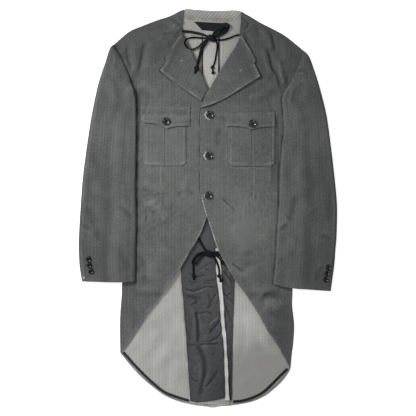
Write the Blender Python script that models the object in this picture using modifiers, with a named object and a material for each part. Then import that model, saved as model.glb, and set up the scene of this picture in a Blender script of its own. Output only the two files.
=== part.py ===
"""A cutaway tailcoat jacket laid flat, front up, neck towards +Y.

Every cut piece is its own shell. Outlines are short tables in millimetres, and each piece takes
its height from the layer below it, so the layers stack without touching.
Right and left are the wearer's, so the right half lies at -X.
"""
import math

import bmesh
import bpy
import numpy as np
from mathutils import Vector

# ---------------------------------------------------------------- driving sizes, millimetres
MM = 0.001
CLOTH = 1.2             # wall of the outer cloth
THIN = 1.0              # wall of lining, tapes and label
GAP = 0.35              # air between two layers
SEAM = 0.3              # air between two pieces side by side
STEP = CLOTH + GAP

FRONT_LIFT = 1.5        # how far the middle of a front stands above its edges
OVERLAP_LIFT = 1.9      # extra height of the left front, which crosses the right one
EDGE_STRIP = 50.0       # strip along the side that stays low, under the sleeve
EDGE_RAMP = 70.0
SHOULDER_RAMP = 60.0
SLEEVE_RISE = 3.15      # sleeve above the body's side
SLEEVE_CLEAR = 14.0     # how far outside the side it is still fully raised
SLEEVE_RAMP = 32.0
SLEEVE_FULLNESS = 3.0   # top sleeve above under sleeve, in the middle
SLEEVE_ROUND = 55.0

CENTRE_SEAM_X = 7.0
VENT_FOOT_Y = -42.0     # the right back starts to climb here
VENT_TOP_Y = -76.0      # the vent's lap starts here, cut on a slant
VENT_FULL_Y = -102.0    # and has its whole width here
VENT_LAP_Y = -133.0     # and lies over the left lining from here down
TURNING_WIDTH = 19.0
TURNING_TOP_Y = 436.0
TURNING_END_Y = 252.0   # hidden under the fronts
BINDING_WIDTH = 3.2
TAPE_WIDTH = 6.4
GORGE_RIGHT_Y = 372.0   # seam between collar end and lapel
GORGE_LEFT_Y = 366.0

FRONT_BUTTON_RADIUS = 10.0
FRONT_BUTTON_HEIGHT = 3.6
CUFF_BUTTON_RADIUS = 7.0
CUFF_BUTTON_HEIGHT = 2.8
BUTTON_SHANK = 0.1      # thread under a button, beyond the usual air
BUTTON_PROFILE = ((0, 0.62), (0.5, 0.62), (0.68, 0.98), (0.88, 0.94), (1.0, 0.42), (0.88, 0), (0, 0))

WIDE_TIE = 3.0          # diameter of the rolled ribbon
NARROW_TIE = 2.2
TIE_SPACING = 2.9       # points along a tie, in diameters
CURVE_READS = 16        # points read between two given ones


def rows(names, *values):
    """A table: one dictionary for each row, with the columns that names lists."""
    return [dict(zip(names.split(), value)) for value in values]


# ---------------------------------------------------------------- outlines
SHOULDER_RIGHT = rows("x y", (-240.5, 414.5), (-201, 448), (-167, 463), (-131, 477), (-97, 488),
                      (-75, 499), (-60.5, 505))
SHOULDER_LEFT = rows("x y", (84.5, 500), (109, 486), (136, 470), (158, 459), (193, 440), (223, 417),
                     (242.5, 400.5))
NECK_TOP = rows("x y", (-73.5, 500.4), (-60, 505), (-50, 506.9), (-33, 504.5), (7, 502), (44, 502), (66, 503),
                (84.5, 500), (96.5, 493.3))
NECK_SEAM_RIGHT = rows("x y", (-74.3, 499.3), (-67, 490.5), (-57, 483.5), (-40, 479), (6.85, 476.5))
NECK_SEAM_LEFT = rows("x y", (7.15, 476.5), (50, 475), (68, 476.5), (82, 481.5), (92, 487.5), (98, 492.3))

ARMHOLE_RIGHT = rows("y x", (414.5, -240.5), (378, -219), (337, -201), (300, -188), (280, -183.5))
ARMHOLE_LEFT = rows("y x", (400.5, 242.5), (361, 231), (325, 213), (295, 195), (277, 187))
SIDE_RIGHT = rows("y x", (280, -183.5), (262, -187), (245, -195), (228, -203), (208, -209), (121, -213),
                  (19, -214), (-83, -216), (-210, -219), (-269, -223), (-312, -224), (-372, -223))
SIDE_LEFT = rows("y x", (277, 187), (262, 191), (245, 199), (228, 206), (208, 211), (121, 213),
                 (19, 214), (-108, 215), (-210, 215), (-251, 214), (-300, 219), (-343, 217),
                 (-376, 213), (-416, 209))

HEM_RIGHT = rows("x y", (-223, -372), (-197, -404), (-168, -435), (-132, -465), (-108, -481),
                 (-71, -496), (-30, -505), (5, -506.9), (30, -504), (55, -498))
HEM_LEFT = rows("x y", (7.3, -506.9), (58, -505), (110, -496), (145, -481), (165, -466), (182, -451),
                (197, -434), (209, -416))

ROLL_RIGHT = rows("y x", (505, -60.5), (476, -65), (462, -68), (448, -66), (435, -63), (397, -42),
                  (371, -30), (341, -15), (317, -7), (299, 2), (278, 15), (255, 26))
ROLL_LEFT = rows("y x", (500, 84.5), (468, 83), (441, 81), (434, 83), (407, 69), (382, 52), (365, 42),
                 (352, 33), (331, 21), (301, 4), (266, -13), (252, -18))
EDGE_RIGHT = rows("y x", (255, 26), (150, 26), (60, 26), (25, 23))
EDGE_LEFT = rows("y x", (252, -18), (223, -20), (140, -20), (51, -20), (25, -16))
CUTAWAY_RIGHT = rows("y x", (25, 23), (-3, 12), (-28, -4), (-52, -13), (-77, -25), (-104, -41),
                     (-135, -59), (-154, -70), (-199, -102), (-236, -127), (-270, -152), (-312, -178),
                     (-350, -202), (-370, -221))
CUTAWAY_LEFT = rows("y x", (25, -16), (-10, -7), (-33, 1), (-57, 9), (-106, 25), (-150, 49),
                    (-185, 69), (-223, 97), (-264, 124), (-312, 151), (-345, 173), (-401, 205),
                    (-413, 209))

COLLAR_EDGE_RIGHT = rows("x y", (-69, 440), (-88, 415), (-100, 394), (-109, 379), (-106, 372))
COLLAR_EDGE_LEFT = rows("x y", (86, 436), (97, 419), (113, 392), (121, 374), (118, 366))
LAPEL_EDGE_RIGHT = rows("x y", (-122, 348), (-107, 335), (-84, 317), (-50, 293), (-17, 270))
LAPEL_EDGE_LEFT = rows("x y", (-17.5, 252.5), (16, 264), (46, 278), (77, 297), (105, 315), (126, 328),
                       (133, 334))

SLEEVE_OUTER_RIGHT = rows("y x", (408, -247.5), (394, -254), (371, -261), (312, -280), (236, -296),
                          (159, -308), (83, -318), (6, -324), (-70, -328.5), (-108, -329),
                          (-147, -327), (-188, -321))
SLEEVE_INNER_RIGHT = rows("y x", (280, -183.5), (250, -182.5), (210, -182), (128, -183), (50, -184),
                          (-28, -181), (-96, -183), (-187, -184))
SLEEVE_OUTER_LEFT = rows("y x", (393, 250), (385, 257), (370, 264), (312, 283), (236, 302), (159, 313),
                         (83, 322), (6, 329), (-70, 328), (-108, 325), (-147, 322), (-213, 313))
SLEEVE_INNER_LEFT = rows("y x", (277, 187), (251, 190), (225, 192), (198, 193), (172, 190), (94, 182),
                         (16, 181), (-62, 175), (-127, 172), (-194, 165))

CAP_RIGHT = rows("x y", (-247.5, 408), (-240.8, 414.2))
CAP_LEFT = rows("x y", (242.8, 400.2), (250, 393))
CUFF_RIGHT = rows("x y", (-321, -188), (-260, -190), (-219, -190), (-184, -187))
CUFF_LEFT = rows("x y", (165, -194), (213, -205), (260, -209), (313, -213))

LINING_TOP = rows("x y", (-72, -15), (-40, -15), (5, -15))
LINING_FOOT = rows("x y", (-45, -492), (-27, -496), (10, -492), (43.5, -484))
LINING_SEAM = rows("x y", (17.7, -104), (5, -97), (5, -15))
LINING_EDGE_RIGHT = rows("y x", (-15, -72), (-154, -69), (-236, -63), (-312, -57), (-409, -50),
                         (-492, -45))
STRIP_INNER = rows("y x", (-104, 18), (-185, 22), (-236, 29), (-287, 32), (-361, 40), (-491, 44))
STRIP_OUTER = rows("y x", (-104, 30.5), (-185, 36), (-236, 40), (-287, 43), (-361, 49), (-491, 55))
LINING_EDGE_LEFT = rows("y x", (-134, 69), (-186, 68), (-336, 63), (-491, 61))
TAPE_RIGHT = rows("x y", (-212, -375), (-172, -417), (-120, -464), (-87, -480), (-48, -492.5))
TAPE_LEFT = rows("x y", (64, -495), (97, -490), (140, -471), (185, -428), (203, -411))

LABEL = rows("x y", (-35, 473.5), (46, 469.5), (46, 447), (-15, 452))
SIZE_TAB = rows("x y", (-11, 451), (15.5, 448), (15.5, 438.5), (-11, 438.5))

PATCH_RIGHT = {"inner": -56, "outer": -164, "top": 228, "bottom": 106, "corner": 9}
PATCH_LEFT = {"inner": 51, "outer": 170, "top": 228, "bottom": 105, "corner": 9}
FLAP_RIGHT = {"top": ((-171, 259), (-45, 257)),
              "first": ((-171, 225), (-161, 216), (-130, 212), (-104, 200)),
              "second": ((-104, 200), (-88, 205), (-46, 208))}
FLAP_LEFT = {"top": ((50, 240), (171, 245)),
             "first": ((47, 206), (85, 205), (112, 198)),
             "second": ((112, 198), (138, 204), (171, 206))}

# ---------------------------------------------------------------- largest folds
FOLDS = rows("piece x0 y0 x1 y1 width height",
             ("front_left", 140, 452, 168, 402, 11, 1.6),
             ("front_left", 152, 392, 182, 322, 11, 1.7),
             ("front_left", 30, 34, 66, -4, 10, 1.4),
             ("front_left", 104, 30, 128, -28, 11, 1.5),
             ("front_left", 92, -150, 150, -230, 22, 1.5),
             ("front_right", -158, 412, -176, 346, 12, 1.6),
             ("front_right", -118, 470, -92, 436, 11, 1.4),
             ("front_right", -150, 20, -104, -34, 14, 1.3),
             ("front_right", -96, -92, -150, -190, 22, 1.5),
             ("sleeve_right", -262, 330, -226, 262, 15, 1.6),
             ("sleeve_right", -304, 60, -232, 28, 14, 1.5),
             ("sleeve_right", -236, -8, -206, -62, 13, 1.3),
             ("sleeve_left", 268, 330, 226, 262, 15, 1.7),
             ("sleeve_left", 210, 96, 264, 46, 14, 1.7),
             ("sleeve_left", 208, 20, 262, -18, 14, 1.5),
             ("sleeve_left", 202, -70, 236, -122, 13, 1.3),
             ("lining_right", -8, -292, -2, -376, 10, 1.6),
             ("lining_right", -38, -262, -8, -336, 10, 1.4),
             ("lining_right", -30, -402, 18, -452, 11, 1.5))

# ---------------------------------------------------------------- ties: x, y and height of the route
WIDE_ROUTES = {
    "neck_tie_right": ((-65.2, 448, 3.7), (-45, 447.5, 4.6), (-20, 443, 5.2), (-2.5, 437, 6.2)),
    "neck_loop_right": ((13.0, 437, 7.2), (24, 448, 6.2), (38, 461, 5.4), (50, 465, 5.0), (54, 460, 5.0),
                        (47, 452, 5.2), (32, 441, 5.6), (15.5, 431.5, 6.4)),
    "neck_tail_right": ((1.0, 426.0, 7.4), (-8, 417, 7.6), (-14, 408, 7.4), (-18, 396, 6.6),
                        (-21.5, 384, 6.8), (-24.5, 370, 8.0), (-27, 359, 8.2), (-29, 347, 8.2)),
}
NARROW_ROUTES = {
    "neck_tie_left": ((79.5, 439.5, 3.9), (68, 436.5, 4.2), (48, 429.5, 4.4), (28, 427, 4.6),
                      (15.5, 427.5, 4.8)),
    "neck_loop_left": ((-2.0, 431.5, 4.4), (-18, 434, 4.6), (-38, 434.5, 5.6), (-52, 430, 7.2),
                       (-57, 418, 7.4), (-51, 406, 7.4), (-37, 401, 6.4), (-24, 406, 4.6),
                       (-14, 416, 4.4), (-1.5, 427.5, 4.4)),
    "neck_tail_left": ((12.0, 425.5, 4.6), (22, 420, 4.3), (24, 406, 4.3), (19.5, 380, 4.3),
                       (15.5, 360, 4.3), (14, 341, 4.3)),
    "vent_tie_right": ((-23.5, -80, 4.2), (-17, -93, 4.8), (-11, -103, 6.0), (-3.5, -107, 6.8)),
    "vent_tie_left": ((23.0, -93, 7.65), (18, -98, 7.8), (12.2, -103.8, 8.0)),
    "vent_loop_right": ((-3.5, -111.5, 6.6), (-14, -115, 5.4), (-28, -120, 4.6), (-38, -130, 4.2),
                        (-41, -141, 4.2), (-35, -146, 4.2), (-24, -137, 4.6), (-12, -123, 6.0),
                        (-1.5, -114.5, 8.6)),
    "vent_tail_right": ((1.0, -116.5, 6.8), (-8, -132, 6.2), (-20, -150, 5.0), (-31, -166, 4.4),
                        (-37, -178, 4.4)),
    "vent_loop_left": ((12.9, -110.2, 7.9), (21, -115, 8.6), (32, -122, 9.0), (41, -132, 9.0),
                       (42, -141, 9.0), (35, -142, 9.0), (25, -132, 8.8), (12.5, -116, 8.4)),
    "vent_tail_left": ((7.0, -117.5, 6.8), (17, -133, 7.4), (26, -152, 7.4), (31, -170, 7.4),
                       (33, -186, 7.4)),
}
KNOTS = rows("name x y z across along high",
             ("neck_knot", 6.5, 432.5, 6.6, 8.0, 6.0, 4.0),
             ("vent_knot", 5.0, -109.5, 7.9, 7.6, 5.6, 3.6))

# ---------------------------------------------------------------- buttons
FRONT_BUTTONS = rows("name x y over",
                     ("front_button_top", 5, 236, "front_left"),
                     ("front_button_middle", 3, 132, "front_left"),
                     ("front_button_bottom", 2, 31, "front_left"),
                     ("pocket_button_right", -106, 219, "flap_right"),
                     ("pocket_button_left", 113, 213, "flap_left"))
CUFF_BUTTONS = rows("name x y over",
                    ("cuff_button_right_1", -303, -131, "sleeve_right"),
                    ("cuff_button_right_2", -301, -146.5, "sleeve_right"),
                    ("cuff_button_right_3", -297, -162, "sleeve_right"),
                    ("cuff_button_left_1", 306, -152, "sleeve_left"),
                    ("cuff_button_left_2", 303, -167.5, "sleeve_left"),
                    ("cuff_button_left_3", 299, -183, "sleeve_left"))

# ---------------------------------------------------------------- colours
COLOURS = {
    "face": ((0.115, 0.120, 0.122, 1), 0.9),
    "sleeve": ((0.100, 0.104, 0.106, 1), 0.9),
    "reverse": ((0.34, 0.335, 0.315, 1), 0.92),
    "lining": ((0.062, 0.064, 0.068, 1), 0.8),
    "ribbon": ((0.012, 0.013, 0.014, 1), 0.7),
    "label": ((0.010, 0.010, 0.012, 1), 0.6),
    "tab": ((0.62, 0.61, 0.58, 1), 0.8),
    "button": ((0.016, 0.018, 0.020, 1), 0.2),
}


# ---------------------------------------------------------------- curves
def smooth(points, count):
    """Read count + 1 points, evenly spaced, from a smooth curve through the given points."""
    points = np.asarray(points, float)
    if len(points) > 2:
        padded = np.vstack((2 * points[0] - points[1], points, 2 * points[-1] - points[-2]))
        fine = []
        for before, start, end, after in zip(padded, padded[1:], padded[2:], padded[3:]):
            for t in np.linspace(0, 1, CURVE_READS, endpoint=False):
                fine.append(0.5 * (2 * start + (end - before) * t
                                   + (2 * before - 5 * start + 4 * end - after) * t ** 2
                                   + (3 * start - before - 3 * end + after) * t ** 3))
        points = np.vstack((fine, points[-1]))
    travelled = np.append(0, np.cumsum(np.linalg.norm(np.diff(points, axis=0), axis=1)))
    wanted = np.linspace(0, travelled[-1], count + 1)
    return np.column_stack([np.interp(wanted, travelled, column) for column in points.T])


def outline(table):
    """The (x, y) points of a table's rows, in their order."""
    return [(row["x"], row["y"]) for row in table]


def between(table, high, low):
    """Points of a table by y, from the height low up to high, with both ends read exactly."""
    ys = [row["y"] for row in table][::-1]
    xs = [row["x"] for row in table][::-1]
    inside = [(x, y) for x, y in zip(xs, ys) if low + 3 < y < high - 3]
    return [(np.interp(low, ys, xs), low)] + inside + [(np.interp(high, ys, xs), high)]


def shifted(points, dx=0.0, dy=0.0):
    return [(x + dx, y + dy) for x, y in points]


def edge(*stretches):
    """One side of a panel from (points, cells) stretches, with a sharp corner between them."""
    parts = [smooth(points, cells) for points, cells in stretches]
    return np.vstack([parts[0]] + [part[1:] for part in parts[1:]])


def moved_left(points, distance):
    """The same points, moved to the left of the way they run."""
    heading = np.gradient(points, axis=0)
    heading /= np.linalg.norm(heading, axis=1)[:, None]
    return points + distance * np.column_stack((-heading[:, 1], heading[:, 0]))


def x_at(table, y):
    ys = [row["y"] for row in table][::-1]
    xs = [row["x"] for row in table][::-1]
    return np.interp(y, ys, xs)


def step(low, high, value):
    """0 below low, 1 above high and a smooth rise between."""
    t = min(max((value - low) / (high - low), 0.0), 1.0)
    return t * t * (3 - 2 * t)


# ---------------------------------------------------------------- heights of the layers
BODY_RIGHT = ARMHOLE_RIGHT + SIDE_RIGHT[1:]
BODY_LEFT = ARMHOLE_LEFT + SIDE_LEFT[1:]
TOP_LINE = SHOULDER_RIGHT + NECK_TOP[1:-1] + SHOULDER_LEFT


def folds(piece, x, y):
    """Height that the folds of one piece add at a point."""
    height = 0.0
    for fold in FOLDS:
        if fold["piece"] != piece:
            continue
        along = np.array((fold["x1"] - fold["x0"], fold["y1"] - fold["y0"]))
        to_point = np.array((x - fold["x0"], y - fold["y0"]))
        share = float(np.clip(to_point @ along / (along @ along), 0, 1))
        distance = float(np.linalg.norm(to_point - share * along))
        height += fold["height"] * math.exp(-(distance / fold["width"]) ** 2)
    return height


def in_from_side(x, y):
    """Distance from the nearer side of the body, towards its middle."""
    return x - x_at(BODY_RIGHT, y) if x < 0 else x_at(BODY_LEFT, y) - x


def below_shoulder(x, y):
    return np.interp(x, [row["x"] for row in TOP_LINE], [row["y"] for row in TOP_LINE]) - y


def floor(x, y):
    return 0.0


def back_right(x, y):
    """The right back climbs over the left one at the vent."""
    across = step(-28, 6.5, x)
    over_back = 1.6 * step(44, 74, -y)
    over_lining = 1.4 * step(116, 133, -y)
    return across * (over_back + over_lining)


def front(x, y, piece, lift):
    """A front lies low along the side and the shoulder and stands higher in the middle."""
    inside = in_from_side(x, y)
    rise = step(EDGE_STRIP, EDGE_STRIP + EDGE_RAMP, inside) * step(0, SHOULDER_RAMP, below_shoulder(x, y))
    creases = folds(piece, x, y) * step(30, 60, inside) * step(4, 30, below_shoulder(x, y))
    return STEP + lift * rise + creases


def front_right(x, y):
    return front(x, y, "front_right", FRONT_LIFT)


def front_left(x, y):
    return front(x, y, "front_left", FRONT_LIFT + OVERLAP_LIFT * step(-260, -150, y))


def under_sleeve(x, y):
    """An under sleeve lies on the floor and climbs over the side of the body."""
    outside = -in_from_side(x, y)
    return SLEEVE_RISE * (1 - step(SLEEVE_CLEAR, SLEEVE_CLEAR + SLEEVE_RAMP, outside)) * step(-334, -292, -y)


def top_sleeve(x, y):
    """A top sleeve closes on the under sleeve at both edges and is full in the middle."""
    if x < 0:
        name, outer, inner = "sleeve_right", SLEEVE_OUTER_RIGHT, ARMHOLE_RIGHT + SLEEVE_INNER_RIGHT[1:]
    else:
        name, outer, inner = "sleeve_left", SLEEVE_OUTER_LEFT, ARMHOLE_LEFT + SLEEVE_INNER_LEFT[1:]
    near_edge = min(abs(x_at(outer, y)) - abs(x), abs(x) - abs(x_at(inner, y)))
    full = SLEEVE_FULLNESS * step(0, SLEEVE_ROUND, near_edge)
    creases = folds(name, x, y) * step(2, 30, near_edge)
    return under_sleeve(x, y) + STEP + full + creases


def raised(base, layers=1, extra=0.0):
    """A height function that lies on top of another one."""
    return lambda x, y: base(x, y) + layers * STEP + extra


def lining_right(x, y):
    low_edge = step(6, 30, x - x_at(LINING_EDGE_RIGHT, y)) * step(4, 30, y + 500)
    return back_right(x, y) + STEP + folds("lining_right", x, y) * low_edge * step(200, 240, -y)


SURFACES = {
    "front_left": front_left,
    "flap_right": raised(front_right, 2),
    "flap_left": raised(front_left, 2),
    "sleeve_right": top_sleeve,
    "sleeve_left": top_sleeve,
}


# ---------------------------------------------------------------- Blender helpers
def clear_scene():
    for item in list(bpy.data.objects):
        bpy.data.objects.remove(item, do_unlink=True)


def make_materials():
    materials = {}
    for name, (colour, roughness) in COLOURS.items():
        material = bpy.data.materials.new(name)
        material.use_nodes = True
        shader = material.node_tree.nodes["Principled BSDF"]
        shader.inputs["Base Color"].default_value = colour
        shader.inputs["Roughness"].default_value = roughness
        shader.inputs["Metallic"].default_value = 0.0
        materials[name] = material
    return materials


def add_object(name, data, material):
    item = bpy.data.objects.new(name, data)
    jacket.objects.link(item)
    data.materials.append(materials[material])
    return item


def panel(name, top, bottom, left, right, height, material, wall=CLOTH):
    """A cloth piece between four sides: top and bottom run from left to right, left and right run up.

    The sides carry the columns and rows of the grid, and height gives the underside of the wall.
    """
    columns, lines = len(top) - 1, len(left) - 1
    mesh = bpy.data.meshes.new(name)
    grid = bmesh.new()
    bmesh.ops.create_grid(grid, x_segments=columns, y_segments=lines, size=1)
    for vertex in grid.verts:
        i = round((vertex.co.x + 1) / 2 * columns)
        j = round((vertex.co.y + 1) / 2 * lines)
        u, v = i / columns, j / lines
        across = (1 - v) * bottom[i] + v * top[i]
        along = (1 - u) * left[j] + u * right[j]
        corners = ((1 - v) * ((1 - u) * bottom[0] + u * bottom[-1])
                   + v * ((1 - u) * top[0] + u * top[-1]))
        x, y = across + along - corners
        vertex.co = Vector((x, y, height(x, y))) * MM
    grid.normal_update()
    if sum(face.normal.z for face in grid.faces) < 0:
        bmesh.ops.reverse_faces(grid, faces=grid.faces)
    grid.to_mesh(mesh)
    grid.free()
    mesh.shade_smooth()
    item = add_object(name, mesh, material)
    shell = item.modifiers.new("wall", "SOLIDIFY")
    shell.thickness = wall * MM
    shell.offset = 1
    shell.use_even_offset = True
    return item


def strip(name, points, width, cells, height, material, wall=THIN):
    """A tape of even width whose middle line runs from left to right."""
    middle = smooth(points, cells)
    top, bottom = moved_left(middle, width / 2), moved_left(middle, -width / 2)
    left, right = np.array((bottom[0], top[0])), np.array((bottom[-1], top[-1]))
    return panel(name, top, bottom, left, right, height, material, wall)


def tube(name, route, diameter, material):
    """A tie along a smooth route, as a tube with closed ends."""
    route = np.asarray(route, float)
    length = np.linalg.norm(np.diff(route, axis=0), axis=1).sum()
    points = smooth(route, max(3, round(length / (diameter * TIE_SPACING))))
    curve = bpy.data.curves.new(name, "CURVE")
    curve.dimensions = "3D"
    curve.bevel_depth = diameter / 2 * MM
    curve.bevel_resolution = 2
    curve.use_fill_caps = True
    spline = curve.splines.new("POLY")
    spline.points.add(len(points) - 1)
    for point, place in zip(spline.points, points):
        point.co = (*(place * MM), 1)
    return add_object(name, curve, material)


def knot(row):
    mesh = bpy.data.meshes.new(row["name"])
    ball = bmesh.new()
    bmesh.ops.create_uvsphere(ball, u_segments=12, v_segments=8, radius=MM)
    bmesh.ops.scale(ball, vec=(row["across"], row["along"], row["high"]), verts=ball.verts)
    ball.to_mesh(mesh)
    ball.free()
    mesh.shade_smooth()
    item = add_object(row["name"], mesh, "ribbon")
    item.location = (row["x"] * MM, row["y"] * MM, row["z"] * MM)
    return item


def button_mesh(name, radius, high):
    """The profile of a turned button: flat back, round edge, raised rim and a sunken middle."""
    mesh = bpy.data.meshes.new(name)
    line = bmesh.new()
    corners = [line.verts.new((radius * r * MM, 0, high * z * MM)) for r, z in BUTTON_PROFILE]
    for first, second in zip(corners, corners[1:]):
        line.edges.new((first, second))
    line.to_mesh(mesh)
    line.free()
    return mesh


def button(row, radius, high, steps):
    """A button seated square on the cloth below it."""
    surface = SURFACES[row["over"]]
    x, y = row["x"], row["y"]
    reach = radius * 0.9
    slope_x = (surface(x + reach, y) - surface(x - reach, y)) / (2 * reach)
    slope_y = (surface(x, y + reach) - surface(x, y - reach)) / (2 * reach)
    normal = Vector((-slope_x, -slope_y, 1)).normalized()
    item = add_object(row["name"], button_mesh(row["name"], radius, high), "button")
    item.rotation_mode = "QUATERNION"
    item.rotation_quaternion = Vector((0, 0, 1)).rotation_difference(normal)
    seat = surface(x, y) + STEP + BUTTON_SHANK
    item.location = (x * MM, y * MM, seat * MM)
    turned = item.modifiers.new("turned", "SCREW")
    turned.steps = turned.render_steps = steps
    turned.use_merge_vertices = True
    turned.merge_threshold = 0.00002
    turned.use_smooth_shade = True
    return item


# ---------------------------------------------------------------- pieces
def backs():
    """The two back halves, with the right one lapping over the left below the vent."""
    neck_right, neck_left = smooth(outline(NECK_SEAM_RIGHT), 4), smooth(outline(NECK_SEAM_LEFT), 4)
    seam_right, seam_left = neck_right[-1][0], neck_left[0][0]
    panel("back_right",
          edge((outline(SHOULDER_RIGHT)[:-2] + [tuple(neck_right[0])], 14)),
          edge((outline(HEM_RIGHT)[:-3], 6), (outline(HEM_RIGHT)[-4:], 8)),
          edge((outline(SIDE_RIGHT)[::-1], 18), (outline(ARMHOLE_RIGHT)[::-1], 6)),
          edge((between(STRIP_OUTER, VENT_LAP_Y, -498), 9), (between(STRIP_OUTER, VENT_FULL_Y, VENT_LAP_Y), 2),
               ([(x_at(STRIP_OUTER, VENT_FULL_Y), VENT_FULL_Y), (seam_right, VENT_TOP_Y)], 2),
               ([(seam_right, VENT_TOP_Y), (seam_right, VENT_FOOT_Y)], 2),
               ([(seam_right, VENT_FOOT_Y), neck_right[-1]], 5), (neck_right[::-1], 4)),
          back_right, "reverse")
    panel("back_left",
          edge(([tuple(neck_left[-1])] + outline(SHOULDER_LEFT)[1:], 10)),
          edge((outline(HEM_LEFT), 10)),
          edge(([(seam_left, -506.9), neck_left[0]], 20), (neck_left, 4)),
          edge((outline(SIDE_LEFT)[::-1], 18), (outline(ARMHOLE_LEFT)[::-1], 6)),
          floor, "reverse")
    seam = moved_left(np.vstack((neck_right[:-1], neck_left[1:])), SEAM)
    neck_top = edge((outline(NECK_TOP), len(seam) - 1))
    panel("collar_stand", neck_top, seam,
          edge(([seam[0], neck_top[0]], 2)), edge(([seam[-1], neck_top[-1]], 2)), floor, "reverse")


def back_trims():
    """Seam turnings with their bindings, bare label, size tab, linings, vent strip and hem tapes."""
    on_back = raised(floor)
    top, bottom = TURNING_TOP_Y, TURNING_END_Y
    turning_edges = {"right": (CENTRE_SEAM_X - TURNING_WIDTH, CENTRE_SEAM_X - SEAM / 2),
                     "left": (CENTRE_SEAM_X + SEAM / 2, CENTRE_SEAM_X + TURNING_WIDTH)}
    for side, (low, high) in turning_edges.items():
        outer = low - SEAM - BINDING_WIDTH if side == "right" else high + SEAM
        for name, left, right, material in (("turning_", low, high, "reverse"),
                                            ("binding_", outer, outer + BINDING_WIDTH, "lining")):
            panel(name + side,
                  edge(([(left, top), (right, top)], 1)), edge(([(left, bottom), (right, bottom)], 1)),
                  edge(([(left, bottom), (left, top)], 6)), edge(([(right, bottom), (right, top)], 6)),
                  on_back, material, THIN)
    for name, table, material in (("label", LABEL, "label"), ("size_tab", SIZE_TAB, "tab")):
        top_left, top_right, low_right, low_left = outline(table)
        panel(name, edge(([top_left, top_right], 4)), edge(([low_left, low_right], 4)),
              edge(([low_left, top_left], 2)), edge(([low_right, top_right], 2)),
              on_back, material, THIN)
    strip_edge = [(x - SEAM, y) for x, y in outline(STRIP_INNER)[::-1]]
    panel("lining_right",
          edge((outline(LINING_TOP)[:2], 2), (outline(LINING_TOP)[1:], 7)),
          edge((outline(LINING_FOOT)[:2], 2), (outline(LINING_FOOT)[1:], 7)),
          edge((outline(LINING_EDGE_RIGHT)[::-1], 21)),
          edge((outline(LINING_FOOT)[-1:] + strip_edge[1:], 16),
               (outline(LINING_SEAM)[:2], 1), (outline(LINING_SEAM)[1:], 4)),
          lining_right, "lining", THIN)
    panel("lining_left",
          edge(([(17, -134), (69, -134)], 3)),
          edge(([(36, -491), (61, -491)], 3)),
          edge(([(36, -491), (26, -300), (17, -134)], 14)),
          edge((outline(LINING_EDGE_LEFT)[::-1], 14)),
          on_back, "lining", THIN)
    panel("vent_strip",
          edge(([(18, -104), (30.5, -104)], 2)),
          edge(([(44, -491), (55, -491)], 2)),
          edge((between(STRIP_INNER, VENT_LAP_Y, -491), 13), (between(STRIP_INNER, -104, VENT_LAP_Y), 3)),
          edge((between(STRIP_OUTER, VENT_LAP_Y, -491), 13), (between(STRIP_OUTER, -104, VENT_LAP_Y), 3)),
          raised(back_right), "reverse")
    strip("hem_tape_right", outline(TAPE_RIGHT), TAPE_WIDTH, 14, on_back, "lining")
    strip("hem_tape_left", outline(TAPE_LEFT), TAPE_WIDTH, 14, on_back, "lining")


def fronts():
    """The two fronts, cut away from the bottom button to the side."""
    panel("front_right",
          edge((outline(SHOULDER_RIGHT), 10)),
          edge((outline(CUTAWAY_RIGHT)[::-1], 10)),
          edge((between(SIDE_RIGHT, 280, -370), 23), (outline(ARMHOLE_RIGHT)[::-1], 6)),
          edge((outline(EDGE_RIGHT)[::-1], 11), (outline(ROLL_RIGHT)[::-1], 18)),
          front_right, "face")
    panel("front_left",
          edge((outline(SHOULDER_LEFT), 10)),
          edge((outline(CUTAWAY_LEFT), 10)),
          edge((outline(EDGE_LEFT)[::-1], 11), (outline(ROLL_LEFT)[::-1], 18)),
          edge((between(SIDE_LEFT, 277, -413), 23), (outline(ARMHOLE_LEFT)[::-1], 6)),
          front_left, "face")


def collars_and_lapels():
    """Collar ends and lapels, folded along the roll line and lying on the fronts."""
    on_right, on_left = raised(front_right), raised(front_left)
    gorge_right, gorge_left = GORGE_RIGHT_Y, GORGE_LEFT_Y
    roll_x_right, roll_x_left = x_at(ROLL_RIGHT, gorge_right), x_at(ROLL_LEFT, gorge_left)
    panel("collar_right",
          edge(([(-69, 440), (-64.5, 440)], 5)),
          edge(([(-106, gorge_right), (roll_x_right, gorge_right)], 5)),
          edge((outline(COLLAR_EDGE_RIGHT)[::-1], 6)),
          edge((between(ROLL_RIGHT, 440, gorge_right), 6)),
          on_right, "face")
    panel("lapel_right",
          edge(([(-106, gorge_right - SEAM), (roll_x_right, gorge_right - SEAM)], 9)),
          edge((outline(LAPEL_EDGE_RIGHT), 9)),
          edge(([(-122, 348), (-106, gorge_right - SEAM)], 6)),
          edge(([(-17, 270), (-1.5, 299)], 2), ([(-1.5, 299), (-9, 320), (-17, 341), (roll_x_right, 371.7)], 4)),
          on_right, "face")
    panel("collar_left",
          edge(([(83, 436), (86, 436)], 5)),
          edge(([(roll_x_left, gorge_left), (118, gorge_left)], 5)),
          edge((between(ROLL_LEFT, 436, gorge_left), 6)),
          edge((outline(COLLAR_EDGE_LEFT)[::-1], 6)),
          on_left, "face")
    panel("lapel_left",
          edge(([(roll_x_left, gorge_left - SEAM), (118, gorge_left - SEAM)], 10)),
          edge((outline(LAPEL_EDGE_LEFT), 10)),
          edge((between(ROLL_LEFT, gorge_left - SEAM, 252.5), 8)),
          edge(([(133, 334), (118, gorge_left - SEAM)], 8)),
          on_left, "face")


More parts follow.
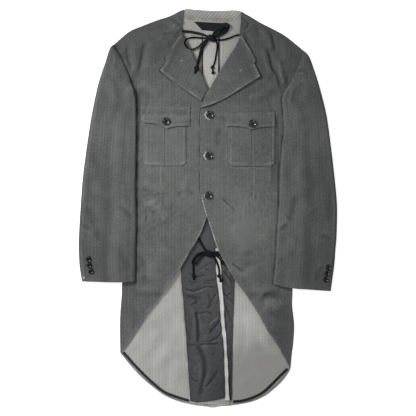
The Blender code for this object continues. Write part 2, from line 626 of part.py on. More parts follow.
def pockets():
    """Patch pockets with pointed flaps."""
    for side, patch, flap, base in (("right", PATCH_RIGHT, FLAP_RIGHT, front_right),
                                    ("left", PATCH_LEFT, FLAP_LEFT, front_left)):
        low, high = sorted((patch["inner"], patch["outer"]))
        top, bottom, corner = patch["top"], patch["bottom"], patch["corner"]
        panel("pocket_patch_" + side,
              edge(([(low, top), (high, top)], 7)),
              edge(([(low, bottom + corner), (low + corner, bottom)], 1),
                   ([(low + corner, bottom), (high - corner, bottom)], 5),
                   ([(high - corner, bottom), (high, bottom + corner)], 1)),
              edge(([(low, bottom + corner), (low, top)], 5)),
              edge(([(high, bottom + corner), (high, top)], 5)),
              raised(base), "face")
        panel("pocket_flap_" + side,
              edge((flap["top"], 8)),
              edge((flap["first"], 4), (flap["second"], 4)),
              edge(([flap["first"][0], flap["top"][0]], 3)),
              edge(([flap["second"][-1], flap["top"][1]], 3)),
              raised(base, 2), "face")


def sleeves():
    """Two-piece sleeves: the under sleeve on the floor, the top sleeve over it."""
    for side, outer, armhole, inner, cap, hem in (
            ("right", SLEEVE_OUTER_RIGHT, ARMHOLE_RIGHT, SLEEVE_INNER_RIGHT, CAP_RIGHT, CUFF_RIGHT),
            ("left", SLEEVE_OUTER_LEFT, ARMHOLE_LEFT, SLEEVE_INNER_LEFT, CAP_LEFT, CUFF_LEFT)):
        cap, hem = outline(cap), outline(hem)
        clear = -SEAM if side == "right" else SEAM
        inner_side = edge((shifted(outline(inner), clear)[::-1], 17), (shifted(outline(armhole), clear)[::-1], 6))
        outer_side = edge((outline(outer)[::-1], 23))
        inner_side[-1] = cap[1] if side == "right" else cap[0]
        left, right = (outer_side, inner_side) if side == "right" else (inner_side, outer_side)
        for name, height in (("under_sleeve_", under_sleeve), ("top_sleeve_", top_sleeve)):
            panel(name + side, edge((cap, 6)), edge((hem, 6)), left, right, height, "sleeve")


def buttons():
    for row in FRONT_BUTTONS:
        button(row, FRONT_BUTTON_RADIUS, FRONT_BUTTON_HEIGHT, 14)
    for row in CUFF_BUTTONS:
        button(row, CUFF_BUTTON_RADIUS, CUFF_BUTTON_HEIGHT, 10)


def ties():
    for name, route in WIDE_ROUTES.items():
        tube(name, route, WIDE_TIE, "ribbon")
    for name, route in NARROW_ROUTES.items():
        tube(name, route, NARROW_TIE, "ribbon")
    for row in KNOTS:
        knot(row)


clear_scene()
jacket = bpy.data.collections.new("tailcoat_jacket")
bpy.context.scene.collection.children.link(jacket)
materials = make_materials()
backs()
back_trims()
fronts()
collars_and_lapels()
pockets()
sleeves()
buttons()
ties()
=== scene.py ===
import math

import bpy
import numpy as np
from mathutils import Matrix, Vector


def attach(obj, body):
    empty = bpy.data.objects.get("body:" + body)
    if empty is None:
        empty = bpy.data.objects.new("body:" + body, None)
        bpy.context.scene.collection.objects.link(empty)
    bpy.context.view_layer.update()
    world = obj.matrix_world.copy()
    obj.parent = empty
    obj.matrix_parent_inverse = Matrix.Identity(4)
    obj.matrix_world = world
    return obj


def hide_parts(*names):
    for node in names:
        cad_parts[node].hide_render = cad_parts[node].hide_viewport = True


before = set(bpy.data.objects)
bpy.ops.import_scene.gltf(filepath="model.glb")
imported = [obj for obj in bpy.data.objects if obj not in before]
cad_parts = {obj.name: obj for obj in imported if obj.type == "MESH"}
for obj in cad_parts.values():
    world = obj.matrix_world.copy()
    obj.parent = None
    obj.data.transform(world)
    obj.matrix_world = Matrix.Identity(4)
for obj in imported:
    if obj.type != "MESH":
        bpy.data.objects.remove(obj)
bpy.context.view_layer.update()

mm = 0.001
print("frame loaded, nodes:", len(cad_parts))

# cloth walls and the air between layers, millimetres as in the CAD
layers = {"cloth": 1.2, "thin": 1.0, "gap": 0.35, "seam": 0.3}
oneUp = layers["cloth"] + layers["gap"]

# seams and edges as (x, y) in millimetres, right and left are the wearer's
seams = {
    "shoulderRight": [
        (-240.5, 414.5), (-201, 448), (-167, 463), (-131, 477), (-97, 488), (-75, 499), (-60.5, 505),
    ],
    "shoulderLeft": [
        (84.5, 500), (109, 486), (136, 470), (158, 459), (193, 440), (223, 417), (242.5, 400.5),
    ],
    "neckTop": [
        (-73.5, 500.4), (-60, 505), (-50, 506.9), (-33, 504.5), (7, 502), (44, 502), (66, 503), (84.5, 500),
        (96.5, 493.3),
    ],
    "neckRight": [(-74.3, 499.3), (-67, 490.5), (-57, 483.5), (-40, 479), (6.85, 476.5)],
    "neckLeft": [(7.15, 476.5), (50, 475), (68, 476.5), (82, 481.5), (92, 487.5), (98, 492.3)],
    "armholeRight": [(-240.5, 414.5), (-219, 378), (-201, 337), (-188, 300), (-183.5, 280)],
    "armholeLeft": [(242.5, 400.5), (231, 361), (213, 325), (195, 295), (187, 277)],
    "sideRight": [
        (-183.5, 280), (-187, 262), (-195, 245), (-203, 228), (-209, 208), (-213, 121), (-214, 19),
        (-216, -83), (-219, -210), (-223, -269), (-224, -312), (-223, -372),
    ],
    "sideLeft": [
        (187, 277), (191, 262), (199, 245), (206, 228), (211, 208), (213, 121), (214, 19), (215, -108),
        (215, -210), (214, -251), (219, -300), (217, -343), (213, -376), (209, -416),
    ],
    "hemRight": [
        (-223, -372), (-197, -404), (-168, -435), (-132, -465), (-108, -481), (-71, -496), (-30, -505),
        (5, -506.9), (30, -504), (55, -498),
    ],
    "hemLeft": [
        (7.3, -506.9), (58, -505), (110, -496), (145, -481), (165, -466), (182, -451), (197, -434),
        (209, -416),
    ],
    "rollRight": [
        (-60.5, 505), (-65, 476), (-68, 462), (-66, 448), (-63, 435), (-42, 397), (-30, 371), (-15, 341),
        (-7, 317), (2, 299), (15, 278), (26, 255),
    ],
    "rollLeft": [
        (84.5, 500), (83, 468), (81, 441), (83, 434), (69, 407), (52, 382), (42, 365), (33, 352), (21, 331),
        (4, 301), (-13, 266), (-18, 252),
    ],
    "edgeRight": [(26, 255), (26, 150), (26, 60), (23, 25)],
    "edgeLeft": [(-18, 252), (-20, 223), (-20, 140), (-20, 51), (-16, 25)],
    "cutawayRight": [
        (23, 25), (12, -3), (-4, -28), (-13, -52), (-25, -77), (-41, -104), (-59, -135), (-70, -154),
        (-102, -199), (-127, -236), (-152, -270), (-178, -312), (-202, -350), (-221, -370),
    ],
    "cutawayLeft": [
        (-16, 25), (-7, -10), (1, -33), (9, -57), (25, -106), (49, -150), (69, -185), (97, -223),
        (124, -264), (151, -312), (173, -345), (205, -401), (209, -413),
    ],
    "collarRight": [(-69, 440), (-88, 415), (-100, 394), (-109, 379), (-106, 372)],
    "collarLeft": [(86, 436), (97, 419), (113, 392), (121, 374), (118, 366)],
    "lapelRight": [(-122, 348), (-107, 335), (-84, 317), (-50, 293), (-17, 270)],
    "lapelLeft": [(-17.5, 252.5), (16, 264), (46, 278), (77, 297), (105, 315), (126, 328), (133, 334)],
    "sleeveOuterRight": [
        (-247.5, 408), (-254, 394), (-261, 371), (-280, 312), (-296, 236), (-308, 159), (-318, 83),
        (-324, 6), (-328.5, -70), (-329, -108), (-327, -147), (-321, -188),
    ],
    "sleeveInnerRight": [
        (-183.5, 280), (-182.5, 250), (-182, 210), (-183, 128), (-184, 50), (-181, -28), (-183, -96),
        (-184, -187),
    ],
    "sleeveOuterLeft": [
        (250, 393), (257, 385), (264, 370), (283, 312), (302, 236), (313, 159), (322, 83), (329, 6),
        (328, -70), (325, -108), (322, -147), (313, -213),
    ],
    "sleeveInnerLeft": [
        (187, 277), (190, 251), (192, 225), (193, 198), (190, 172), (182, 94), (181, 16), (175, -62),
        (172, -127), (165, -194),
    ],
    "capRight": [(-247.5, 408), (-240.8, 414.2)],
    "capLeft": [(242.8, 400.2), (250, 393)],
    "cuffRight": [(-321, -188), (-260, -190), (-219, -190), (-184, -187)],
    "cuffLeft": [(165, -194), (213, -205), (260, -209), (313, -213)],
    "stripInner": [(18, -104), (22, -185), (29, -236), (32, -287), (40, -361), (44, -491)],
    "stripOuter": [(30.5, -104), (36, -185), (40, -236), (43, -287), (49, -361), (55, -491)],
    "liningRight": [(-72, -15), (-69, -154), (-63, -236), (-57, -312), (-50, -409), (-45, -492)],
    "liningLeft": [(69, -134), (68, -186), (63, -336), (61, -491)],
    "liningFoot": [(-45, -492), (-27, -496), (10, -492), (43.5, -484)],
    "tapeRight": [(-215.5, -368.5), (-172, -417), (-120, -464), (-87, -480), (-48, -492.5)],
    "tapeLeft": [(64, -495), (97, -490), (140, -471), (185, -428), (203, -411)],
}


# curves and heights
def curve(points, reads=16):
    # a smooth line through the given points, read close together
    points = np.asarray(points, float)
    if len(points) < 3:
        return points
    padded = np.vstack((2 * points[0] - points[1], points, 2 * points[-1] - points[-2]))
    fine = []
    for before, start, end, after in zip(padded, padded[1:], padded[2:], padded[3:]):
        for t in np.linspace(0, 1, reads, endpoint=False):
            fine.append(0.5 * (2 * start + (end - before) * t
                               + (2 * before - 5 * start + 4 * end - after) * t ** 2
                               + (3 * start - before - 3 * end + after) * t ** 3))
    return np.vstack((fine, points[-1]))


def runAlong(line):
    return np.append(0, np.cumsum(np.linalg.norm(np.diff(line, axis=0), axis=1)))


def readAt(line, places):
    run = runAlong(line)
    return np.column_stack([np.interp(places, run, column) for column in line.T])


def moved(line, distance):
    # the line moved to the left of the way it runs
    heading = np.gradient(line, axis=0)
    heading /= np.linalg.norm(heading, axis=1)[:, None] + 1e-9
    return line + distance * np.column_stack((-heading[:, 1], heading[:, 0]))


def shifted(points, dx):
    return [(x + dx, y) for x, y in points]


def atY(points, y):
    xs, ys = np.array(points[::-1], float).T
    return np.interp(y, ys, xs)


def between(points, high, low):
    inside = [(x, y) for x, y in points if low + 3 < y < high - 3]
    return [(float(atY(points, high)), high)] + inside + [(float(atY(points, low)), low)]


def seamLine(name, high=None, low=None):
    points = seams[name] if high is None else between(seams[name], high, low)
    return curve(points, 8)


def step(low, high, value):
    t = np.clip((np.asarray(value, float) - low) / (high - low), 0, 1)
    return t * t * (3 - 2 * t)


def nearLine(x, y, line, reach):
    # for the points within reach of a line: their index, signed distance and the length run so far
    low, high = line.min(0) - reach, line.max(0) + reach
    near = np.flatnonzero((x > low[0]) & (x < high[0]) & (y > low[1]) & (y < high[1]))
    px, py = x[near], y[near]
    run = runAlong(line)
    best, side, passed = np.full(len(near), 1e9), np.ones(len(near)), np.zeros(len(near))
    for k in range(len(line) - 1):
        legX, legY = line[k + 1] - line[k]
        size = legX * legX + legY * legY
        if size < 1e-9:
            continue
        dx, dy = px - line[k, 0], py - line[k, 1]
        t = np.clip((dx * legX + dy * legY) / size, 0, 1)
        off = np.hypot(dx - t * legX, dy - t * legY)
        closer = off < best
        best[closer] = off[closer]
        side[closer] = np.sign(legX * dy - legY * dx)[closer]
        passed[closer] = run[k] + t[closer] * math.sqrt(size)
    kept = best < reach
    return near[kept], (best * side)[kept], passed[kept], run[-1]


def uneven(x, y, size, seed):
    # a slow irregular swell between about -1 and 1
    total = 0.0
    for k in range(5):
        turn = seed * 1.7 + k * 2.399
        rate = 2 * math.pi / (size * (0.7 + 0.23 * k))
        total = total + np.sin((x * math.cos(turn) + y * math.sin(turn)) * rate + seed * 3.1 + k * 1.3)
    return total / 3.2


def softWrinkles(x, y, seed):
    # small unplanned wrinkles: a slow swell, short puckers and a few sharper ridges
    ridges = 1 - np.abs(uneven(x, y, 46, seed + 11)) * 1.6
    return (0.35 * uneven(x, y, 60, seed) + 0.22 * uneven(x, y, 23, seed + 4)
            + 0.5 * np.clip(ridges, 0, 1) ** 2 * np.clip(uneven(x, y, 90, seed + 7), 0, 1))


crumpledSpots = [  # where washing left a net of fine creases: x, y, reach across, reach up, height
    (-156, 12, 48, 34, 0.42), (-100, -10, 36, 30, 0.3), (122, 12, 46, 46, 0.45), (60, 10, 40, 26, 0.3),
    (-96, 462, 34, 30, 0.6), (106, 470, 30, 26, 0.6), (-204, 360, 26, 52, 0.45), (200, 330, 26, 52, 0.5),
    (112, 150, 56, 50, 0.35), (-110, 150, 52, 44, 0.2), (170, -90, 40, 60, 0.35), (-170, -120, 40, 60, 0.3),
    (-120, -50, 60, 30, 0.3), (186, -250, 26, 30, 0.5), (0, 90, 26, 120, 0.2),
]


def creaseNet(x, y, size, seed):
    # fine creases that meet, as washed cloth keeps them
    coarse, fine = uneven(x, y, size, seed), uneven(x, 0.6 * y, 0.65 * size, seed + 12)
    return 0.9 - np.abs(coarse) * 1.9 - np.abs(fine) * 0.9


def crumpled(x, y):
    total = np.zeros(len(x))
    for spotX, spotY, wide, tall, high in crumpledSpots:
        total += high * np.exp(-((x - spotX) / wide) ** 2 - ((y - spotY) / tall) ** 2)
    return total * creaseNet(x, y, 17, 21)


def creaseHeight(creases, x, y):
    # ridges where the height is positive, troughs where it is negative
    total = np.zeros(len(x))
    for high, width, *points in creases:
        line = curve(points, 5)
        near, off, run, length = nearLine(x, y, line, 3 * width)
        fade = step(0, 0.2, run / length) * step(0, 0.2, 1 - run / length)
        lean = np.where(off > 0, 1.25, 0.8) * width
        total[near] += high * fade * np.exp(-(off / lean) ** 2)
    return total


bodyRight = seams["armholeRight"] + seams["sideRight"][1:]
bodyLeft = seams["armholeLeft"] + seams["sideLeft"][1:]
topLine = np.array(seams["shoulderRight"] + seams["neckTop"][1:-1] + seams["shoulderLeft"])


def inFromSide(x, y):
    return np.where(x < 0, x - atY(bodyRight, y), atY(bodyLeft, y) - x)


def belowShoulder(x, y):
    return np.interp(x, topLine[:, 0], topLine[:, 1]) - y


# the layers' undersides, each worked out from the one below
back = {
    "swell": 0.9, "swellSize": 74,      # soft ripples of the tails on the table
    "creases": [
        (1.0, 13, (-150, -419), (-112, -368), (-80, -300)),
        (0.9, 12, (-190, -392), (-150, -352), (-128, -300)),
        (0.8, 10, (-96, -470), (-84, -420), (-78, -380)), (1.1, 13, (130, -318), (156, -360), (194, -372)),
        (0.9, 11, (96, -262), (104, -330), (92, -402)), (0.8, 12, (150, -440), (128, -410), (118, -372)),
        (0.7, 9, (80, -470), (98, -440), (120, -424)),
    ],
}


def onTable(x, y):
    # every layer shares the ripples of the cloth that lies on the table
    tails = step(-150, -230, y) * step(4, 26, inFromSide(x, y)) * step(-500, -470, y)
    swell = back["swell"] * (0.5 + 0.5 * uneven(x, y, back["swellSize"], 3))
    return (swell + creaseHeight(back["creases"], x, y)) * tails * step(60, 90, np.abs(x) + 22)


def backRight(x, y):
    over = 1.6 * step(44, 74, -y) + 1.4 * step(116, 133, -y)
    return onTable(x, y) + step(-28, 6.5, x) * over


fronts = {
    "lift": 1.5, "overlapLift": 1.9,
    "stripWidth": 50, "rampWidth": 70, "shoulderRamp": 60,
    "swell": 3.6,                        # a soft rise beside the sleeve
    "deeper": 2.1,
    "right": [
        (1.3, 9, (-226, 404), (-221, 384), (-214, 360)),
        (-1.3, 6, (-204, 416), (-205, 397), (-201, 371), (-194, 346)),
        (1.5, 13, (-184, 424), (-186, 385), (-188, 340)),
        (-1.3, 5.5, (-158, 424), (-164, 402), (-169, 376), (-178, 338)),
        (1.4, 14, (-141, 430), (-147, 392), (-152, 344)), (-1.2, 3.4, (-96, 480), (-82, 472), (-64, 461)),
        (1.3, 4, (-90, 466), (-79, 456), (-68, 452)), (-1.1, 3.2, (-84, 430), (-77, 440), (-68, 449)),
        (-1.0, 5, (-112, 437), (-96, 443), (-82, 446)), (-0.8, 3, (-106, 488), (-92, 484), (-76, 474)),
        (-0.7, 12, (-158, 448), (-124, 456), (-92, 460)), (1.0, 9, (-126, 434), (-112, 424), (-100, 410)),
        (-0.8, 6, (-72, 494), (-70, 484), (-66, 474)), (0.8, 12, (-176, 318), (-150, 296), (-120, 286)),
        (0.9, 11, (-168, 70), (-140, 52), (-100, 44)), (-0.3, 2.6, (-170, -12), (-174, -40), (-180, -66)),
        (0.35, 3.4, (-163, -16), (-166, -46)), (-0.25, 2.4, (-155, -10), (-158, -38)),
        (0.25, 3, (-147, -14), (-149, -40)), (-0.25, 2.4, (-137, -6), (-141, -34)),
        (0.25, 3, (-120, 8), (-123, -16)), (1.2, 14, (-150, 24), (-128, 0), (-100, -38)),
        (-0.8, 9, (-219, -236), (-199, -266), (-188, -312)),
        (1.5, 22, (-96, -92), (-122, -140), (-150, -190)), (0.9, 16, (-60, -20), (-84, -64), (-96, -110)),
        (-0.8, 10, (-176, -110), (-160, -160), (-168, -210)), (0.8, 10, (-40, 96), (-56, 60), (-60, 20)),
        (0.6, 6, (-30, 236), (-58, 226), (-84, 224)), (-0.6, 6, (-26, 30), (-54, 40), (-84, 34)),
    ],
    "left": [
        (-1.1, 3.2, (84, 486), (94, 478), (106, 464)), (1.0, 4, (92, 490), (106, 480), (116, 468)),
        (-0.9, 3.2, (112, 476), (104, 466), (93, 452)), (-0.8, 3, (96, 497), (108, 488), (122, 474)),
        (-0.8, 3, (92, 446), (98, 436), (104, 422)), (0.9, 5, (104, 446), (114, 430), (118, 412)),
        (-0.9, 8, (122, 470), (128, 452), (130, 430)), (1.5, 10, (134, 462), (152, 430), (160, 398)),
        (-1.5, 5, (140, 466), (160, 445), (167, 416), (172, 392)),
        (1.2, 12, (190, 432), (196, 404), (196, 370)), (1.2, 9, (138, 408), (148, 372), (160, 330)),
        (-2.0, 4.5, (149, 412), (157, 383), (164, 354), (177, 335), (184, 306), (187, 279), (191, 255)),
        (1.7, 6, (176, 378), (187, 340), (194, 308)), (-1.2, 4, (203, 334), (203, 312), (199, 300)),
        (-1.4, 4, (174, 264), (180, 239), (170, 200)), (0.9, 9, (150, 300), (130, 286), (100, 282)),
        (-0.7, 2.2, (30, 26), (50, 10), (66, -4), (68, -20)), (0.6, 3, (30, 20), (48, 4), (62, -10)),
        (-0.4, 2.2, (112, 62), (113, 44), (110, 26)), (-0.35, 2.2, (105, 16), (107, 2), (104, -16)),
        (0.35, 3, (116, 44), (117, 24), (114, 8)), (-0.3, 2.2, (122, 36), (121, 18)),
        (-0.3, 2.2, (118, -2), (120, -18)), (0.3, 3, (129, 26), (128, 6)),
        (-0.3, 2.2, (136, 40), (135, 20)), (-0.3, 2.2, (144, 22), (146, 2)),
        (0.25, 3, (140, 16), (141, -2)), (-0.25, 2.2, (98, 4), (97, -16)), (0.25, 3, (92, -2), (90, -24)),
        (-0.25, 2.2, (86, 12), (89, -4)), (-0.25, 2.2, (82, -20), (85, -36)),
        (-0.2, 2.4, (132, -20), (148, -23), (160, -20)), (-0.2, 2.4, (154, 50), (164, 30), (168, 8)),
        (-0.7, 3, (58, -138), (77, -154), (98, -167)), (0.7, 4, (56, -148), (74, -164), (92, -178)),
        (-1.4, 6, (134, -226), (163, -223), (189, -228), (204, -243)),
        (1.3, 14, (140, -246), (170, -250), (198, -262)), (-1.3, 15, (196, -236), (192, -282), (180, -334)),
        (1.5, 22, (92, -150), (120, -190), (150, -230)), (1.2, 16, (60, -40), (84, -84), (96, -120)),
        (0.9, 10, (176, 150), (160, 110), (158, 60)), (-0.6, 8, (30, 208), (24, 176), (28, 150)),
        (0.6, 5, (24, 232), (40, 236), (52, 230)),
    ],
}


def front(x, y, creases, lift):
    inside, below = inFromSide(x, y), belowShoulder(x, y)
    rise = step(fronts["stripWidth"], fronts["stripWidth"] + fronts["rampWidth"], inside)
    rise = rise * step(0, fronts["shoulderRamp"], below)
    upper = step(286, 320, y)                     # above the armpit no sleeve lies on the front
    lower = step(-206, -222, y)
    beside = (1.6 * step(32, 42, inside) + (fronts["swell"] - 1.6) * step(34, 70, inside)) * (1 - upper)
    beside = beside * (1 - 0.6 * lower)
    quick = 1 - (1 - np.clip(inside / np.where(x < 0, 11, 18), 0, 1)) ** 2
    beside = beside + upper * (2.0 * quick + (fronts["swell"] - 2.0) * step(4, 36, inside))
    beside = beside * step(2, 40, below)
    free = np.where(upper > 0, step(2, 16, inside) * upper + step(34, 56, inside) * (1 - upper),
                    step(34, 56, inside))
    free = np.maximum(free, lower * step(3, 20, inside)) * step(3, 24, below)
    drape = (fronts["deeper"] * creaseHeight(creases, x, y) + softWrinkles(x, y, 1) + crumpled(x, y)) * free
    return onTable(x, y) + oneUp + np.maximum(lift * rise + beside + drape, 0)


def frontRight(x, y):
    return front(x, y, fronts["right"], fronts["lift"])


def frontLeft(x, y):
    return front(x, y, fronts["left"], fronts["lift"] + fronts["overlapLift"] * step(-260, -150, y))


sleeves = {
    "rise": 3.15, "clear": 14, "ramp": 32, "overlap": 1.6,
    "edgeRound": 5.4, "outerWidth": 9, "innerWidth": 4.5,   # how fast a sleeve rounds up from its edges
    "cuffSofter": 6.5, "capSofter": 13,
    "fullness": 2.4, "round": 58, "deeper": 0.75, "wrinkles": 0.6,
    "right": [
        (1.2, 9, (-205, 215), (-201, 147), (-203, 83), (-199, 34)),
        (-0.9, 3, (-247, 404), (-243, 388), (-246, 366)), (0.8, 5, (-238, 396), (-236, 372), (-244, 348)),
        (-0.9, 3.5, (-230, 384), (-235, 362), (-240, 346)),
        (-1.0, 4, (-203, 318), (-212, 303), (-222, 290)), (1.6, 15, (-262, 330), (-246, 296), (-226, 262)),
        (-1.2, 9, (-246, 340), (-232, 300), (-228, 262)), (1.5, 14, (-304, 60), (-270, 38), (-232, 28)),
        (-1.2, 5, (-184, -30), (-204, -14), (-226, 6)), (1.4, 7, (-186, -14), (-204, 4), (-222, 20)),
        (-1.1, 9, (-309, 4), (-293, -37), (-272, -88)), (-1.3, 4, (-322, -46), (-296, -58)),
        (1.1, 5, (-320, -56), (-300, -66), (-286, -66)), (-0.9, 4, (-285, -60), (-279, -88)),
        (-1.2, 12, (-186, -160), (-217, -129), (-230, -94)),
        (1.3, 13, (-236, -8), (-220, -34), (-206, -62)),
        (0.9, 12, (-262, -120), (-250, -150), (-256, -178)), (-0.8, 7, (-292, 130), (-280, 96), (-284, 60)),
        (0.7, 8, (-250, 176), (-244, 120), (-250, 66)),
    ],
    "left": [
        (-1.3, 4, (206, 304), (203, 280), (200, 256)), (1.2, 5, (216, 314), (209, 288), (203, 262)),
        (-1.3, 4, (219, 302), (211, 262)), (-1.1, 3.5, (241, 317), (222, 302)),
        (1.0, 6, (246, 330), (230, 314), (220, 300)), (-2.2, 2.8, (222, 350), (233, 346), (246, 349)),
        (-1.6, 3, (246, 348), (252, 338), (250, 326)), (1.8, 4, (225, 356), (238, 358)),
        (1.4, 4, (232, 340), (242, 342)), (-0.9, 3, (250, 378), (246, 360), (252, 344)),
        (1.6, 14, (268, 330), (248, 296), (232, 262)), (-1.0, 12, (238, 240), (226, 176), (220, 116)),
        (1.7, 14, (214, 100), (238, 70), (264, 46)), (-1.9, 10, (223, 36), (214, -6), (203, -42)),
        (1.5, 14, (230, 20), (246, 0), (262, -18)), (-1.6, 4, (176, -64), (187, -55), (206, -43)),
        (1.4, 6, (178, -52), (192, -40), (206, -28)), (-1.1, 3.5, (173, -145), (190, -130)),
        (-1.4, 7, (220, -66), (226, -93), (217, -116), (200, -120)),
        (1.3, 12, (202, -70), (220, -96), (236, -122)), (-1.3, 4, (318, -81), (301, -75), (285, -73)),
        (1.0, 5, (316, -70), (300, -62), (288, -62)), (-1.3, 5, (292, -145), (281, -167), (277, -194)),
        (1.0, 6, (282, -142), (270, -160), (266, -184)), (-1.2, 16, (316, 60), (308, 10), (314, -40)),
        (0.8, 12, (270, 200), (264, 150), (272, 96)),
    ],
    # soft ridges of the hidden under sleeves, as x outwards from the middle of the jacket
    "under": [
        (1.3, 12, (296, 150), (270, 118), (244, 108)), (1.1, 10, (306, -20), (284, -52), (256, -66)),
        (1.0, 9, (262, 236), (250, 196), (246, 150)), (0.9, 10, (298, -120), (270, -138), (250, -160)),
        (1.1, 13, (252, 60), (270, 30), (292, 24)),
    ],
}
sleeves["ventRight"] = [(-319, -84), (-315.5, -120), (-312, -152), (-311, -186)]
sleeves["ventLeft"] = [(318, -128), (313.5, -160), (308, -186), (304.5, -209)]
outerRight, outerLeft = seams["sleeveOuterRight"], seams["sleeveOuterLeft"]
innerRight = seams["armholeRight"] + seams["sleeveInnerRight"][1:]
innerLeft = seams["armholeLeft"] + seams["sleeveInnerLeft"][1:]


def underSleeve(x, y):
    outside = -inFromSide(x, y)
    flat = 1 - step(sleeves["clear"], sleeves["clear"] + sleeves["ramp"], outside)
    return sleeves["rise"] * flat * step(-334, -292, -y)


def underCloth(x, y):
    return underSleeve(x, y) + creaseHeight(sleeves["under"], np.abs(x), y)


def overFront(x, y):
    # a sleeve's inner edge comes down on the front above the armpit, and on the under sleeve below it
    frontTop = np.where(x < 0, frontRight(x, y), frontLeft(x, y)) + layers["cloth"] + 0.2
    return np.where(y > 277, np.maximum(frontTop, underSleeve(x, y)), underSleeve(x, y))


def topSleeve(x, y):
    right = x < 0
    fromOuter = np.where(right, x - atY(outerRight, y), atY(outerLeft, y) - x)
    fromInner = np.where(right, atY(innerRight, y) - x, x - atY(innerLeft, y))
    near = np.minimum(fromOuter, fromInner)
    softer = np.where(right, sleeves["cuffSofter"] * step(90, -60, y),
                      sleeves["capSofter"] * step(296, 340, y))
    innerWidth = sleeves["innerWidth"] + softer
    t = np.clip(near / np.where(fromInner < fromOuter, innerWidth, sleeves["outerWidth"]), 0, 1)
    full = sleeves["edgeRound"] * (1 - (1 - t) ** 2) * (0.5 + 0.5 * step(370, 290, y))
    full = full + sleeves["overlap"] * step(275, 300, y) * step(26, 4, fromInner)
    full = full + sleeves["fullness"] * step(0, sleeves["round"], near)
    full = full + 1.2 * step(0, 30, near) * step(300, 350, y)
    drape = np.where(right, creaseHeight(sleeves["right"], x, y), creaseHeight(sleeves["left"], x, y))
    drape = (sleeves["deeper"] * drape + sleeves["wrinkles"] * softWrinkles(x, y, 2)) * step(1, 12, near)
    return underSleeve(x, y) + oneUp + np.maximum(full + drape, 0)


linings = {
    "deeper": 2.3,
    "right": [
        (0.9, 10, (-10, -286), (-4, -333), (-2, -380)), (0.8, 10, (-44, -258), (-28, -290), (-14, -320)),
        (0.9, 11, (-38, -400), (-16, -428), (-6, -470)),
        (-1.6, 3.6, (-34, -262), (-28, -282), (-25, -310), (-24.5, -348)),
        (0.9, 5, (-36, -280), (-34, -316), (-33, -346)),
        (-1.4, 5.5, (-30, -346), (-16, -372), (-8, -398), (-10, -430), (-18, -460), (-22, -488)),
        (0.8, 6, (-34, -372), (-20, -402), (-20, -440)), (-1.1, 2.6, (-27, -349), (3, -348), (32, -347)),
        (0.6, 3.5, (-24, -342), (3, -342), (30, -341)),
        (-1.2, 3.2, (33, -282), (22, -298), (11, -310), (2, -322)),
        (-0.9, 3.0, (36, -314), (22, -332), (2, -340), (-20, -340)),
        (0.8, 4, (28, -278), (14, -292), (2, -302)),
        (-1.2, 3.8, (26, -412), (12, -434), (0, -450), (-10, -460)),
        (-0.8, 2.6, (-66, -206), (-35, -213), (-2, -202), (28, -206)),
        (-0.8, 2.6, (-64, -222), (-44, -228), (-28, -240), (-50, -250)),
        (0.6, 3, (-62, -214), (-36, -219), (-6, -211)), (-0.8, 2.4, (-60, -236), (-41, -226), (-12, -237)),
        (-0.7, 2.6, (24, -214), (10, -236), (-4, -262)), (-0.7, 2.6, (-2, -216), (6, -240), (2, -262)),
        (-0.7, 2.2, (-10, -188), (24, -184)), (-0.5, 2.2, (-14, -194), (22, -192)),
        (-0.9, 2.6, (-34, -267), (-18, -270), (-2, -266), (14, -272)),
        (0.6, 3, (-52, -250), (-38, -262), (-30, -280)), (-0.6, 3, (-58, -300), (-48, -330), (-50, -362)),
        (-0.7, 2.6, (-55, -352), (-40, -350), (-28, -352)),
        (-0.6, 3, (-48, -430), (-34, -440), (-20, -444)), (-0.7, 2.4, (-12, -150), (6, -142), (16, -136)),
        (-0.6, 2.4, (-30, -160), (-8, -156), (8, -162)), (0.6, 3, (-40, -150), (-14, -160), (8, -150)),
        (-0.6, 3, (-48, -168), (-26, -176), (0, -170)), (-0.6, 2.6, (-52, -186), (-36, -192), (-24, -188)),
    ],
    "left": [
        (-0.9, 2.6, (36, -214), (48, -224), (58, -220), (68, -208)),
        (-0.8, 2.6, (44, -224), (56, -232), (66, -244)), (0.7, 4, (44, -218), (54, -226), (64, -228)),
        (-0.7, 4, (44, -244), (52, -270), (60, -296)), (-0.7, 3, (38, -160), (52, -176), (62, -196)),
        (0.7, 4, (60, -150), (52, -176), (60, -200)), (-0.6, 3, (52, -330), (58, -360), (54, -396)),
    ],
}


def liningRight(x, y):
    edge = step(4, 22, x - atY(seams["liningRight"], y)) * step(4, 24, y + 500)
    edge = edge * step(-120, -190, y)
    crinkle = 0.32 * creaseNet(x, y, 15, 5) + 0.10 * uneven(x, y, 9, 8) - 0.3 * np.abs(uneven(x, y, 34, 2))
    drape = np.maximum(linings["deeper"] * creaseHeight(linings["right"], x, y) + 1.4 + crinkle, 0)
    return backRight(x, y) + oneUp + drape * edge


def liningLeft(x, y):
    edge = step(2, 12, atY(seams["liningLeft"], y) - x)
    crinkle = 0.28 * creaseNet(x, y, 14, 6) + 0.10 * uneven(x, y, 9, 4) - 0.3 * np.abs(uneven(x, y, 30, 3))
    drape = np.maximum(linings["deeper"] * creaseHeight(linings["left"], x, y) + 1.0 + crinkle, 0)
    return onTable(x, y) + oneUp + drape * edge


def above(base, count=1):
    return lambda x, y: base(x, y) + count * oneUp


# rims: what a folded edge, a seam or a pressed line does to the cloth beside it, with painted shade where a
# rim darkens the cloth
def rim(reach, edgeWearAndShade, edgeWidth, **more):
    # a rim without relief or a stitched row, unless more is said
    return {"reach": reach, "edgeWearAndShade": edgeWearAndShade, "edgeWidth": edgeWidth, "row": 0.0, "puff": 0.0,
            "dent": 0.0, "pucker": 0.0, "wave": 9, "fade": 3, "rowWear": 0.0, **more}


